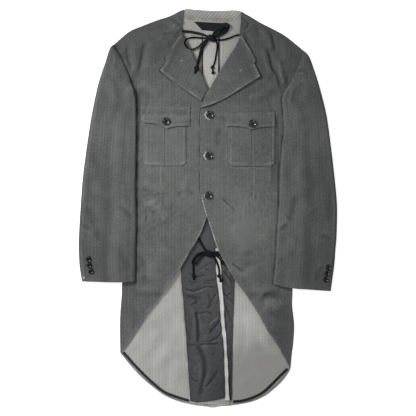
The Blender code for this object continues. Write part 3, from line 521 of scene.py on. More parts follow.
rimKinds = {
    "edge": rim(12, 0.14, 1.2, row=6.2, puff=0.22, dent=0.2, pucker=0.1, wave=8.5, fade=8, rowWear=0.08),
    "cutaway": rim(14, 0.3, 1.4, row=6.2, puff=0.2, dent=0.18, pucker=0.12, wave=9.5, fade=8, rowWear=0.06,
                   lift=0.9, liftReach=14),
    "rubbed": rim(6, 0.75, 1.4),
    "lapel": rim(22, 0.1, 1.2, row=4.8, puff=0.15, dent=0.3, pucker=0.08, wave=7.5, fade=8, rowWear=0.16,
                 lift=2.4, liftReach=20),
    # painted shade: a wide dark band beside the armhole and beside the sleeve's inner edge
    "hollowShade": rim(24, -0.62, 10.0),
    "flap": rim(16, 0.02, 1.1, row=6.0, puff=0.15, dent=0.3, pucker=0.1, wave=7.5, fade=8, rowWear=0.08,
                lift=1.2, liftReach=12),
    "flapShade": rim(6, -0.5, 1.5),
    # painted shade: the two seam kinds darken the cloth in the seam's crevice
    "seam": rim(14, -0.45, 2.2, puff=0.18, dent=0.4, pucker=0.3, wave=10.5, fade=9),
    "softSeam": rim(14, -0.42, 2.0, puff=0.18, dent=0.2, pucker=0.25, wave=10.5, fade=9),
    "paleRow": rim(6, 0.14, 1.3),
    # painted shadow: this kind darkens the cloth just beside an edge that lies on top of it
    "under": rim(8, -0.9, 2.6),
    # painted shade: this kind darkens the bound edges of the lining and the strip, and the next one the
    # groove down the strip's middle
    "bound": rim(8, -1.2, 1.5, row=3.2, puff=0.25, dent=0.4, pucker=0.12, wave=8.0, fade=7),
    "midline": rim(6, -0.22, 0.9, puff=0.1, dent=0.3, pucker=0.04, wave=8.0, fade=5),
    "double": rim(14, 0.03, 1.3, row=7.0, puff=0.3, dent=0.3, pucker=0.14, wave=7.0, fade=9, rowWear=0.11),
    "pressed": rim(8, 0.15, 1.2, puff=0.1, dent=0.25, pucker=0.05, wave=6.5, fade=6),
    # painted shade: this kind darkens the groove of the pressed fold
    "pleat": rim(8, -0.75, 0.9, puff=0.22, dent=0.9, pucker=0.06, wave=9.5, fade=6),
    # the hem's pale edge is rubbed cloth, and its dark row is painted shade in the groove of its sewn row
    "hem": rim(14, 0.5, 1.8, row=4.6, puff=0.2, dent=0.3, pucker=0.12, fade=9, rowWear=-0.75),
    "plain": rim(6, 0.03, 1.0, pucker=0.08, wave=6.0, fade=5),
}


def rimEffect(rims, x, y):
    # height, rubbed paleness and painted shade that the rims add, each beside a line or a named seam; a
    # negative value is painted shade
    high, wear = np.zeros(len(x)), np.zeros(len(x))
    for kind, line in rims:
        look = rimKinds[kind]
        line = seamLine(line) if isinstance(line, str) else line
        near, off, run, _ = nearLine(x, y, np.asarray(line, float), look["reach"])
        off = np.abs(off)
        patchy = np.clip(0.75 + 0.4 * np.sin(run / 13) + 0.35 * np.sin(run / 5.3 + 1), 0, 1.5)
        wave = np.sin(2 * math.pi * run / look["wave"] + 1.7 * np.sin(run / 23))
        wave = wave * (0.6 + 0.4 * np.sin(run / 31))
        high[near] += (look["puff"] * np.exp(-((off - 3) / 1.8) ** 2)
                       - look["dent"] * np.exp(-((off - look["row"]) / 1.0) ** 2)
                       + look["pucker"] * wave * np.exp(-(off / look["fade"]) ** 2))
        if "lift" in look:
            lift = look["lift"] * (1 - step(0, look["liftReach"], off))
            high[near] += lift * (0.8 + 0.2 * np.sin(run / 17))
        wear[near] += (look["edgeWearAndShade"] * np.exp(-(off / look["edgeWidth"]) ** 2)
                       + look["rowWear"] * np.exp(-((off - look["row"] + 1) / 1.3) ** 2)) * patchy
        wear[near] += 0.08 * wave * np.exp(-(off / look["fade"]) ** 2) * (look["edgeWearAndShade"] > 0.2)
    return high, wear


# materials
def clothLook(**more):
    return {"warm": (1.0, 1.0, 1.0),
    "column": 0.0041, "twill": 0.0016, "twillShare": 0.14, "roughness": 0.92,
            "sheen": 0.02, "bump": 0.3, "crumple": 0.2, **more}


# the darkest colour of each cloth look is painted shade, blended in where a rim or a crease darkens the cloth
looks = {
    "faceCloth": clothLook(dark=(0.044, 0.046, 0.046), light=(0.115, 0.118, 0.1165), warm=(0.99, 1.0, 0.97),
                           worn=(0.36, 0.36, 0.345), deep=(0.021, 0.022, 0.023), stripeShare=0.07,
                           streakShare=0.55, bandShare=0.1, fleckShare=1.5, blotchShare=0.6, roughness=0.9,
                           bump=0.5, crumple=0.35),
    "reverseCloth": clothLook(dark=(0.2, 0.199, 0.189), light=(0.375, 0.373, 0.355),
                              worn=(0.52, 0.515, 0.49), deep=(0.05, 0.05, 0.048), stripeShare=0.08,
                              streakShare=0.45, bandShare=0.12, fleckShare=0.9, blotchShare=0.35),
    "standCloth": clothLook(dark=(0.168, 0.166, 0.158), light=(0.41, 0.406, 0.386), worn=(0.5, 0.49, 0.47),
                            deep=(0.09, 0.09, 0.086), column=0.0036, stripeShare=0.32, streakShare=0.4,
                            bandShare=0.2, fleckShare=0.3, blotchShare=0.3),
}
looks["stripCloth"] = dict(looks["reverseCloth"], dark=(0.28, 0.278, 0.265), light=(0.47, 0.466, 0.445))


def node(tree, kind, inputs=None, **settings):
    made = tree.nodes.new(kind)
    for name, value in settings.items():
        setattr(made, name, value)
    for socket, value in (inputs or {}).items():
        if isinstance(value, bpy.types.NodeSocket):
            tree.links.new(value, made.inputs[socket])
        else:
            made.inputs[socket].default_value = value
    return made


def calc(tree, operation, first, second=0.0):
    return node(tree, "ShaderNodeMath", {0: first, 1: second}, operation=operation).outputs[0]


def times(tree, first, second):
    return calc(tree, "MULTIPLY", first, second)


def plus(tree, first, second):
    return calc(tree, "ADD", first, second)


def noise(tree, vector, scale, detail, **settings):
    made = node(tree, "ShaderNodeTexNoise", {"Vector": vector, "Scale": scale, "Detail": detail}, **settings)
    return made.outputs["Fac"]


def stretched(tree, across, along, shares):
    # the weave's own two directions, each with a scale
    parts = {0: times(tree, across, shares[0]), 1: times(tree, along, shares[1])}
    return node(tree, "ShaderNodeCombineXYZ", parts).outputs[0]


def blendColour(tree, share, first, second):
    made = node(tree, "ShaderNodeMix", {0: share, 6: first, 7: second}, data_type="RGBA")
    return made.outputs[2]


def newMaterial(name):
    material = bpy.data.materials.new(name)
    material.use_nodes = True
    return material, material.node_tree, material.node_tree.nodes["Principled BSDF"]


def setInputs(shader, values):
    for name, value in values.items():
        shader.inputs[name].default_value = value


def attribute(tree, name):
    return node(tree, "ShaderNodeAttribute", attribute_name=name).outputs["Fac"]


def opaque(colour):
    return (*colour, 1)


grain = {  # scales of the cloth's noise, for each metre
    "streak": (230.0, 8.0), "band": (74.0, 3.5),
    "fleck": 300.0, "blotch": 17.0, "hue": 9.0, "crumple": 58.0,
    "crumpleDepth": 0.0016, "threadDepth": 0.00035,
}


def clothMaterial(name, look):
    # herringbone columns with fine streaks along the warp, paler where the cloth is rubbed, darker with
    # painted shade and lighter or darker with painted light as the two attributes say
    material, tree, shader = newMaterial(name)
    weave = node(tree, "ShaderNodeUVMap", uv_map="weave").outputs[0]
    place = node(tree, "ShaderNodeTexCoord").outputs["Object"]
    split = node(tree, "ShaderNodeSeparateXYZ", {0: weave})
    across, along = split.outputs[0], split.outputs[1]
    folded = calc(tree, "PINGPONG", across, look["column"])
    twill = calc(tree, "SINE", times(tree, plus(tree, folded, along), 6.2832 / look["twill"]))
    stripe = calc(tree, "SINE", times(tree, across, 3.1416 / look["column"]))
    streak = noise(tree, stretched(tree, across, along, grain["streak"]), 1.0, 3.0)
    band = noise(tree, stretched(tree, across, along, grain["band"]), 1.0, 2.0)
    fleck = noise(tree, weave, grain["fleck"], 3.0)
    blotch = noise(tree, place, grain["blotch"], 4.0)
    share = plus(tree, times(tree, twill, look["twillShare"]), times(tree, stripe, look["stripeShare"]))
    for pattern, part in ((streak, "streakShare"), (band, "bandShare"), (fleck, "fleckShare"),
                          (blotch, "blotchShare")):
        share = plus(tree, share, times(tree, calc(tree, "SUBTRACT", pattern, 0.5), look[part]))
    # painted light and shade, with the piece's own shade, shift the colour level
    share = plus(tree, share, attribute(tree, "tone"))
    level = node(tree, "ShaderNodeClamp", {0: plus(tree, share, 0.5)}).outputs[0]
    colour = blendColour(tree, level, opaque(look["dark"]), opaque(look["light"]))
    hue = noise(tree, place, grain["hue"], 3.0)
    tinted = node(tree, "ShaderNodeMix", {0: hue, 6: colour, 7: opaque(look["warm"])}, data_type="RGBA",
                  blend_type="MULTIPLY").outputs[2]
    wear = attribute(tree, "wear")
    worn = node(tree, "ShaderNodeClamp", {0: times(tree, wear, plus(tree, fleck, 0.5))}).outputs[0]
    # painted shade: a negative value blends the colour towards the darkest shade colour
    kept = node(tree, "ShaderNodeClamp", {0: times(tree, wear, -1.0)}).outputs[0]
    tinted = blendColour(tree, worn, tinted, opaque(look["worn"]))
    tinted = blendColour(tree, kept, tinted, opaque(look["deep"]))
    tree.links.new(tinted, shader.inputs["Base Color"])
    rough = plus(tree, times(tree, streak, 0.08), look["roughness"] - 0.04)
    tree.links.new(rough, shader.inputs["Roughness"])
    relief = plus(tree, times(tree, twill, 0.35), times(tree, fleck, 1.6))
    relief = plus(tree, relief, times(tree, streak, 1.2))
    crumple = noise(tree, place, grain["crumple"], 5.0, noise_type="RIDGED_MULTIFRACTAL")
    coarse = node(tree, "ShaderNodeBump", {"Height": crumple, "Strength": look["crumple"],
                                           "Distance": grain["crumpleDepth"]})
    bump = node(tree, "ShaderNodeBump", {"Height": relief, "Strength": look["bump"],
                                         "Distance": grain["threadDepth"], "Normal": coarse.outputs[0]})
    tree.links.new(bump.outputs[0], shader.inputs["Normal"])
    setInputs(shader, {"Sheen Weight": look["sheen"], "Sheen Roughness": 0.5, "Specular IOR Level": 0.25})
    return material


def finishMaterial(name, look):
    # one finish for lining, ribbon, label, thread and button: grain, fine noise and bump
    material, tree, shader = newMaterial(name)
    place = node(tree, "ShaderNodeTexCoord").outputs["Object"]
    if look.get("weave"):
        place = node(tree, "ShaderNodeUVMap", uv_map="weave").outputs[0]
    mapped = node(tree, "ShaderNodeMapping", {"Vector": place, "Scale": look["stretch"]}).outputs[0]
    fine = noise(tree, mapped, look["grain"], 4.0)
    ribs = node(tree, "ShaderNodeTexWave", {"Vector": mapped, "Scale": look["ribs"], "Distortion": 1.2},
                bands_direction=look.get("ribDirection", "X")).outputs["Fac"]
    grainShare = look.get("grainShare", 1.0) / 2
    level = node(tree, "ShaderNodeMapRange",
                 {0: fine, 1: 0.3, 2: 0.7, 3: 0.5 - grainShare, 4: 0.5 + grainShare}).outputs[0]
    # painted light and shade, and rubbed paleness, from the two attributes shift the level
    level = plus(tree, level, plus(tree, attribute(tree, "tone"), attribute(tree, "wear")))
    level = node(tree, "ShaderNodeClamp", {0: level}).outputs[0]
    colour = blendColour(tree, level, opaque(look["dark"]), opaque(look["light"]))
    tree.links.new(colour, shader.inputs["Base Color"])
    low, high = look["roughness"]
    rough = node(tree, "ShaderNodeMapRange", {0: fine, 3: low, 4: high}).outputs[0]
    tree.links.new(rough, shader.inputs["Roughness"])
    relief = plus(tree, times(tree, ribs, look["ribShare"]), fine)
    bump = node(tree, "ShaderNodeBump", {"Height": relief, "Strength": look["bump"],
                                         "Distance": look["depth"]})
    tree.links.new(bump.outputs[0], shader.inputs["Normal"])
    setInputs(shader, {"Sheen Weight": look.get("sheen", 0.0),
                       "Specular IOR Level": look.get("specular", 0.5)})
    return material


def finish(dark, light, grain, ribs, ribShare, bump, depth, **more):
    return {"dark": dark, "light": light, "grain": grain, "ribs": ribs, "ribShare": ribShare, "bump": bump,
            "depth": depth, "stretch": (1, 1, 1), "roughness": (0.7, 0.85), **more}


finishes = {
    "liningCloth": finish((0.014, 0.015, 0.017), (0.06, 0.061, 0.065), 130, 300, 0.05, 0.25, 0.0004,
                          roughness=(0.5, 0.68), grainShare=0.25, sheen=0.02, specular=0.3, weave=True),
    "tapeCloth": finish((0.008, 0.009, 0.01), (0.022, 0.023, 0.025), 240, 420, 0.4, 0.4, 0.0003,
                        specular=0.15, weave=True),
    "tieRibbon": finish((0.002, 0.003, 0.0035), (0.006, 0.008, 0.009), 300, 620, 0.7, 0.6, 0.0003,
                        ribDirection="Y", roughness=(0.55, 0.75), specular=0.08, weave=True),
    "wovenLabel": finish((0.006, 0.006, 0.007), (0.014, 0.014, 0.016), 260, 700, 0.5, 0.3, 0.0001,
                         roughness=(0.45, 0.6), specular=0.12, weave=True),
    "tabCloth": finish((0.24, 0.235, 0.225), (0.4, 0.39, 0.375), 300, 700, 0.5, 0.4, 0.0002,
                       roughness=(0.75, 0.88), specular=0.2, weave=True),
    "darkThread": finish((0.03, 0.031, 0.031), (0.07, 0.071, 0.07), 900, 900, 0.3, 0.3, 0.0001,
                         specular=0.2),
    "blackThread": finish((0.004, 0.004, 0.005), (0.014, 0.014, 0.015), 900, 900, 0.3, 0.3, 0.0001,
                          specular=0.15),
    "greyThread": finish((0.06, 0.062, 0.061), (0.135, 0.137, 0.133), 900, 900, 0.3, 0.3, 0.0001,
                         specular=0.2),
    "paleThread": finish((0.36, 0.36, 0.34), (0.54, 0.54, 0.51), 900, 900, 0.3, 0.3, 0.0001, specular=0.2),
    "polishedButton": finish((0.008, 0.008, 0.009), (0.028, 0.029, 0.03), 130, 60, 0.0, 0.03, 0.0002,
                             stretch=(1, 1, 2), roughness=(0.05, 0.12), specular=0.42),
}
finishes["cuffButton"] = dict(finishes["polishedButton"], dark=(0.001, 0.001, 0.001),
                              light=(0.004, 0.005, 0.005), specular=0.3)
materials = {name: clothMaterial(name, look) for name, look in looks.items()}
materials.update({name: finishMaterial(name, look) for name, look in finishes.items()})
print("materials made:", len(materials))


# camera, floor and light
studio = {
    "framePixels": 416, "pixelSize": 2.55, "middle": (0.26, -1.28), "lens": 90, "sensor": 36,
    "floorSide": 14.0, "floorDrop": 0.25,
    "lights": [("keyLight", (-1.4, 1.0, 1.1), 0.7, 54),
               ("lowLight", (-0.7, -1.6, 1.4), 1.2, 14),
               ("sideLight", (1.8, 0.1, 1.6), 1.3, 9)],
    "skyStrength": 0.41, "floorGlow": 0.6,
}


def lookAt(item, target):
    way = Vector(target) - item.location
    item.rotation_euler = way.to_track_quat("-Z", "Y").to_euler()


def makeStudio():
    scene = bpy.context.scene
    scene.view_settings.view_transform = "Standard"
    width = studio["framePixels"] * studio["pixelSize"] * mm
    middle = [value * mm for value in studio["middle"]]
    bpy.ops.object.camera_add(location=(*middle, width * studio["lens"] / studio["sensor"]))
    camera = bpy.context.object
    camera.name = "camera"
    camera.rotation_euler = (0, 0, 0)
    camera.data.lens, camera.data.sensor_width = studio["lens"], studio["sensor"]
    scene.camera = camera
    for name, place, size, power in studio["lights"]:
        bpy.ops.object.light_add(type="AREA", location=place)
        lamp = bpy.context.object
        lamp.name = name
        lamp.data.size, lamp.data.energy = size, power
        lookAt(lamp, (0, 0, 0))
    world = bpy.data.worlds.new("studio")
    world.use_nodes = True
    world.node_tree.nodes["Background"].inputs[0].default_value = (1, 1, 1, 1)
    world.node_tree.nodes["Background"].inputs[1].default_value = studio["skyStrength"]
    scene.world = world
    bpy.ops.mesh.primitive_plane_add(size=studio["floorSide"], location=(0, 0, -studio["floorDrop"] * mm))
    floor = bpy.context.object
    floor.name = "studioFloor"
    material, _, shader = newMaterial("studioFloor")
    setInputs(shader, {"Base Color": (0.65, 0.65, 0.65, 1), "Roughness": 0.9, "Emission Color": (1, 1, 1, 1),
                       "Emission Strength": studio["floorGlow"]})
    floor.data.materials.append(material)


bpy.ops.object.select_all(action="DESELECT")
makeStudio()
print("studio made")


# ties: x, y, air under the ribbon, width and tilt
ties = {
    "thickness": 0.55, "spacing": 1.6,
    "neckRibbonWide": [
        (-64.8, 448.8, 0.8, 6.4, 12), (-45.6, 447.5, 1.2, 6.6, 5), (-20, 442.4, 1.5, 6.2, 0),
        (-2, 436, 3.2, 5.4, 0), (8, 432, 3.8, 4.8, 0), (16, 442, 4.2, 8.4, 0), (28, 454, 4.8, 12.5, 5),
        (41, 463.5, 4.8, 12.0, 15), (50, 465.5, 4.0, 9.5, 40), (53, 459, 2.6, 8.0, 50),
        (46, 450, 1.6, 10.0, 20), (33, 442, 1.6, 10.0, 5), (19, 434.5, 2.2, 7.0, 0), (8, 431, 3.6, 5.0, 0),
        (-2, 425.5, 4.4, 8.4, 0), (-10, 415, 3.4, 10.6, 0), (-15.5, 403, 2.6, 9.2, 0),
        (-19.5, 389, 1.8, 8.2, 8), (-23.2, 374, 1.8, 7.8, 10), (-26.8, 360, 1.2, 6.8, 5),
        (-28, 355.5, 1.6, 5.4, 0),
    ],
    "neckRibbonNarrow": [
        (80.5, 440, 0.9, 5.0, 30), (69, 437.3, 1.0, 5.0, 30), (56.4, 431.7, 1.0, 4.8, 30),
        (38.5, 427, 1.0, 4.8, 25), (23, 427, 1.4, 4.6, 15), (12, 429.5, 2.2, 4.2, 0),
        (-2.3, 430.8, 1.8, 4.6, 15), (-20, 431.8, 1.2, 4.8, 30), (-38, 432.7, 1.2, 5.0, 35),
        (-53.3, 428.4, 1.3, 5.0, 35), (-59.0, 418.2, 1.3, 5.0, 30), (-53.3, 407, 1.3, 5.0, 35),
        (-40.5, 402.5, 1.2, 5.0, 35), (-25, 409, 1.2, 4.8, 30), (-13, 420, 1.8, 4.6, 20),
        (0, 428, 2.6, 4.2, 0), (10, 430, 3.2, 4.2, 0), (19, 426, 2.4, 4.6, 10), (24, 414, 1.2, 5.2, 25),
        (23, 400, 1.0, 5.2, 25), (20.6, 386, 1.0, 5.0, 25), (17.4, 369, 1.0, 4.8, 25),
        (13.2, 360, 1.4, 4.2, 15),
    ],
    "ventRibbonRight": [
        (-24.5, -76.5, 0.8, 6.4, 10), (-16.5, -92, 1.0, 6.6, 0), (-9, -104.5, 1.8, 6.0, 0),
        (-1.5, -112, 3.2, 5.0, 0), (4.5, -116, 4.2, 4.6, 0), (-4, -115.5, 3.0, 5.2, 10),
        (-14, -114.5, 1.8, 5.6, 30), (-27.5, -121, 1.2, 5.6, 40), (-37.8, -134, 1.0, 5.4, 45),
        (-39.3, -143.5, 0.9, 5.2, 45), (-31.5, -143, 0.9, 5.0, 40), (-21, -130.5, 1.2, 5.0, 30),
        (-10, -120.5, 2.4, 4.8, 10), (0, -116.5, 4.6, 4.4, 0), (-6, -118.5, 4.4, 4.6, 0),
        (-19, -120.5, 3.4, 5.4, 10), (-31, -127.5, 2.6, 5.6, 10), (-36.2, -140, 2.6, 5.4, 10),
        (-36.6, -154, 1.6, 5.4, 20), (-36.2, -168, 1.0, 5.0, 20), (-36, -173, 1.2, 4.6, 10),
    ],
    "ventRibbonLeft": [
        (33, -112, 0.7, 5.0, 0), (24, -113.5, 1.2, 5.2, 0), (14, -114.5, 2.0, 5.2, 0),
        (5, -116.5, 3.2, 4.6, 0), (13, -118, 3.0, 5.0, 10), (22, -122, 2.0, 5.2, 25),
        (32, -133, 1.2, 5.2, 40), (38.2, -144.5, 0.9, 5.0, 45), (42, -139, 1.0, 5.0, 45),
        (37, -127, 1.8, 5.0, 30), (27, -119, 3.2, 4.8, 10), (14, -117.5, 4.2, 4.6, 0),
        (6, -118.5, 4.8, 4.4, 0), (13, -123, 4.0, 4.8, 10), (20, -134, 2.4, 5.2, 20),
        (25.4, -147, 1.4, 5.2, 25), (28.6, -160, 1.0, 5.0, 20), (28.8, -170, 1.2, 4.6, 5),
    ],
}


def coveredTo(x, y):
    # the top of the cloth that a ribbon lies on, inside the neck or over the vent
    x, y = np.atleast_1d(np.asarray(x, float)), np.atleast_1d(np.asarray(y, float))
    inNeck = onTable(x, y) + oneUp + layers["thin"]
    onLapel = (x < atY(seams["rollRight"], y)) | (x > atY(seams["rollLeft"], y))
    lapelTop = np.where(x < 0, frontRight(x, y), frontLeft(x, y)) + oneUp + layers["cloth"]
    overVent = np.where(x < 17.8, liningRight(x, y) + layers["thin"],
                        backRight(x, y) + oneUp + layers["cloth"])
    overVent = np.where(x > atY(seams["stripOuter"], y), liningLeft(x, y) + layers["thin"], overVent)
    return np.where(y > 0, np.where(onLapel, lapelTop, inNeck), overVent)


def selectOnly(item):
    bpy.ops.object.select_all(action="DESELECT")
    item.select_set(True)
    bpy.context.view_layer.objects.active = item


def nodeOf(name):
    # frontButtonTop stands for front_button_top
    parts = ("_" + one.lower() if one.isupper() or one.isdigit() else one for one in name)
    return "".join(parts)


def settle(piece, slotName, *nodesStoodFor):
    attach(piece, "root")
    if nodesStoodFor:
        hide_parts(*nodesStoodFor)
    return piece


def newPiece(name, places, faces, material):
    mesh = bpy.data.meshes.new(name)
    mesh.from_pydata([tuple(place) for place in places], [], faces)
    mesh.materials.append(materials[material])
    piece = bpy.data.objects.new(name, mesh)
    bpy.context.scene.collection.objects.link(piece)
    return piece


def giveWeave(mesh, across, along):
    # a UV map in metres, from one value for each vertex
    loops = np.zeros(len(mesh.loops), int)
    mesh.loops.foreach_get("vertex_index", loops)
    layer = mesh.uv_layers.new(name="weave")
    layer.data.foreach_set("uv", np.column_stack((across[loops], along[loops])).astype(np.float32).ravel())


def ribbon(name, route):
    # a flat ribbon whose width turns about its route, with slightly cupped faces
    route = np.array(route, float)
    route[:, 2] += coveredTo(route[:, 0], route[:, 1]) + route[:, 3] / 2 * np.sin(np.radians(route[:, 4]))
    route = curve(route, 12)
    run = runAlong(route[:, :3])
    count = round(run[-1] / ties["spacing"])
    line = np.column_stack([np.interp(np.linspace(0, run[-1], count + 1), run, column) for column in route.T])
    heading = np.gradient(line[:, :3], axis=0)
    heading /= np.linalg.norm(heading, axis=1)[:, None]
    flat = np.cross(heading, (0, 0, 1.0))
    flat /= np.linalg.norm(flat, axis=1)[:, None]
    up = np.cross(flat, heading)
    tilt = np.radians(line[:, 4])[:, None]
    across, out = flat * np.cos(tilt) + up * np.sin(tilt), up * np.cos(tilt) - flat * np.sin(tilt)
    half = ties["thickness"] / 2
    section = [(-1, 0), (-0.94, half), (-0.5, half), (0, half), (0.5, half), (0.94, half),
               (1, 0), (0.94, -half), (0.5, -half), (0, -half), (-0.5, -half), (-0.94, -half)]
    rings = []
    for wide, high in section:
        cup = 0.25 * (1 - wide * wide)
        rings.append(line[:, :3] + across * (line[:, 3:4] / 2 * wide) + out * (high + cup))
    places = np.stack(rings, axis=1).reshape(-1, 3) * mm
    around = len(section)
    faces = [(k * around + i, k * around + (i + 1) % around, (k + 1) * around + (i + 1) % around,
              (k + 1) * around + i) for k in range(count) for i in range(around)]
    faces += [tuple(range(around))[::-1], tuple(count * around + i for i in range(around))]
    piece = newPiece(name, places, faces, "tieRibbon")
    selectOnly(piece)
    bpy.ops.object.mode_set(mode="EDIT")
    bpy.ops.mesh.select_all(action="SELECT")
    bpy.ops.mesh.normals_make_consistent(inside=False)
    bpy.ops.object.mode_set(mode="OBJECT")
    bpy.ops.object.shade_smooth_by_angle(angle=math.radians(50))
    wide = np.array([point[0] for point in section])
    passed = np.repeat(np.linspace(0, run[-1], count + 1), around)
    giveWeave(piece.data, np.tile(wide * 3, count + 1) * mm, passed * mm)
    return piece, line[:, :3] * mm, run[-1] * mm


knots = {  # place, half sizes, turn in degrees and wraps
    "neckKnot": ((9.5, 430.5, 3.4), (13.0, 8.2, 3.8), -28, 3),
    "ventKnot": ((3.5, -117.5, 3.6), (15.5, 8.2, 3.9), -22, 4),
    "neckKnotRight": ((-29, 353.5, 2.0), (6.4, 6.6, 3.0), 25, 2),
    "neckKnotLeft": ((11.7, 357.0, 1.9), (4.8, 4.6, 2.7), -15, 2),
    "neckKnotEnd": ((13.2, 343.5, 1.9), (4.4, 4.4, 2.6), 35, 2),
    "ventKnotRight": ((-35.6, -176, 1.9), (4.8, 5.0, 2.7), 10, 2),
    "ventKnotSide": ((28, -118.5, 3.0), (5.4, 5.0, 3.0), 40, 2),
    "ventKnotLeft": ((28.8, -174, 2.0), (5.2, 5.0, 2.8), -20, 2),
    "ventKnotEnd": ((33.4, -185.5, 1.9), (5.0, 4.6, 2.7), 30, 2),
}
tips = {
    "neckTipRight": [(-29.5, 351, 1.6, 5.2, 0), (-31.5, 345, 1.0, 5.6, 10), (-32.5, 340, 0.8, 5.6, 15)],
    "neckTipLeft": [(12.0, 354, 1.4, 3.8, 0), (12.6, 349, 1.0, 4.4, 20), (13.0, 345, 1.2, 4.4, 10)],
    "ventTipRight": [(-35.6, -178, 1.2, 4.0, 0), (-35.2, -182, 0.9, 4.6, 15), (-35.4, -185, 0.8, 4.8, 10)],
    "ventTipLeft": [(29.4, -176, 1.2, 4.2, 0), (31.4, -180.5, 1.0, 4.8, 10), (33, -184, 1.2, 4.4, 10)],
}


def knotForm(name, at, size, degrees, wraps):
    # a ball pressed flat, with grooves between the wraps of the ribbon
    bpy.ops.object.select_all(action="DESELECT")
    bpy.ops.mesh.primitive_uv_sphere_add(segments=40, ring_count=24, radius=1)
    piece = bpy.context.object
    piece.name = piece.data.name = name
    turn = math.radians(degrees)
    level = at[2] + float(coveredTo(at[0], at[1])[0])
    for vertex in piece.data.vertices:
        x, y, z = vertex.co
        wrap = math.cos(math.pi * wraps * (x + 0.35 * y))
        swell = 1 + 0.13 * abs(wrap) ** 0.6 - 0.10 + 0.05 * math.sin(5 * y + 3 * x)
        across, along, high = x * size[0] * swell, y * size[1] * swell, z * size[2] * swell
        vertex.co = (at[0] + across * math.cos(turn) - along * math.sin(turn),
                     at[1] + across * math.sin(turn) + along * math.cos(turn), level + high)
        vertex.co *= mm
    piece.data.uv_layers[0].name = "weave"
    for loop in piece.data.uv_layers["weave"].data:
        loop.uv = (loop.uv[0] * 0.03, loop.uv[1] * 0.02)
    piece.data.materials.append(materials["tieRibbon"])
    selectOnly(piece)
    bpy.ops.object.shade_smooth()
    return settle(piece, "ribbon")


def makeTies():
    ribbons = {  # place and side in the nodes' names, then the knots and tips that come with each
        "neckRibbonWide": ("neck", "right", ["neckKnot", "neckKnotRight", "neckTipRight"]),
        "neckRibbonNarrow": ("neck", "left", ["neckKnotLeft", "neckTipLeft", "neckKnotEnd"]),
        "ventRibbonRight": ("vent", "right", ["ventKnot", "ventKnotRight", "ventTipRight"]),
        "ventRibbonLeft": ("vent", "left", ["ventKnotSide", "ventKnotLeft", "ventTipLeft", "ventKnotEnd"]),
    }
    for name, look in knots.items():
        made = knotForm(name, *look)
        if name in ("neckKnot", "ventKnot"):
            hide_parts(nodeOf(name))
    for name, route in tips.items():
        settle(ribbon(name, route)[0], "ribbon")
    for name, (place, end, withIt) in ribbons.items():
        piece, path, length = ribbon(name, ties[name])
        settle(piece, "ribbon", *(f"{place}_{part}_{end}" for part in ("tie", "loop", "tail")))


makeTies()
print("ties made")


# cloth pieces
pieces = {}
grids = {
    "rimRows": (0.7, 1.6, 2.6, 3.8, 5.0, 6.2, 7.4, 8.8),    # rows close together beside an edge
    "foldRows": (-2.4, -1.4, -0.7, 0, 0.7, 1.4, 2.4),       # and on both sides of a pressed fold
    "drawReach": 16,                     # how far in the cloth gives way where its edge is drawn in
    "roll": 0.7, "rollReads": 4,         # radius of a turned edge and the steps round it
    "rollShare": 0.7,                    # the radius is at most this share of the drop
    "hair": 0.02,                        # keeps the last two rows of a turned edge apart
    "bevel": 0.36, "bevelAngle": 62,     # rounding of the cut edges
    "rimLow": -0.3,                      # a rim sinks the cloth no further
    "facesDown": -0.3,                   # faces whose normal is lower show the cloth's other side
}


def side(*stretches):
    # one side of a piece from (points, cells) stretches, with a corner between them
    total = sum(cells for _, cells in stretches)
    shares, places, passed = [], [], 0
    for points, cells in stretches:
        line = curve(points)
        run = runAlong(line)
        shares.append((passed + run / run[-1] * cells) / total)
        places.append(line)
        passed += cells
    corners = [part[-1] for part in shares[:-1]]
    line = np.vstack(places)
    return {"shares": np.concatenate(shares), "line": line, "corners": corners, "length": runAlong(line)[-1]}


def readSide(one, shares):
    return np.column_stack([np.interp(shares, one["shares"], column) for column in one["line"].T])


def gridShares(first, second, cell, closer=()):
    length = (first["length"] + second["length"]) / 2
    rims = [offset / length for offset in grids["rimRows"] if offset < 0.3 * length]
    fixed = [0.0, 1.0] + rims + [1 - share for share in rims] + first["corners"] + second["corners"]
    fixed += [share + offset / length for share in closer for offset in grids["foldRows"]]
    even = np.linspace(0, 1, max(4, round(length / cell)) + 1)
    kept = [share for share in even if min(abs(share - other) for other in fixed) > 0.45 * cell / length]
    return np.unique(np.round(sorted(fixed + kept), 7))


def fromSide(values, which):
    # turn the grid so that its second axis runs away from one side; the same call turns it back
    if which in ("top", "bottom"):
        values = values.swapaxes(0, 1)
    return values


def drawIn(xy, which, amount):
    # pull the cloth near one side inwards
    xy = fromSide(xy, which)
    if which in ("right", "top"):
        xy = xy[:, ::-1]
    distance = np.linalg.norm(xy - xy[:, :1], axis=2)
    inward = xy[:, 4] - xy[:, 0]
    inward /= np.linalg.norm(inward, axis=1)[:, None]
    pull = np.broadcast_to(amount, (len(xy),))[:, None] * (1 - step(0, grids["drawReach"], distance))
    xy = xy + inward[:, None] * pull[..., None]
    if which in ("right", "top"):
        xy = xy[:, ::-1]
    return fromSide(xy, which)


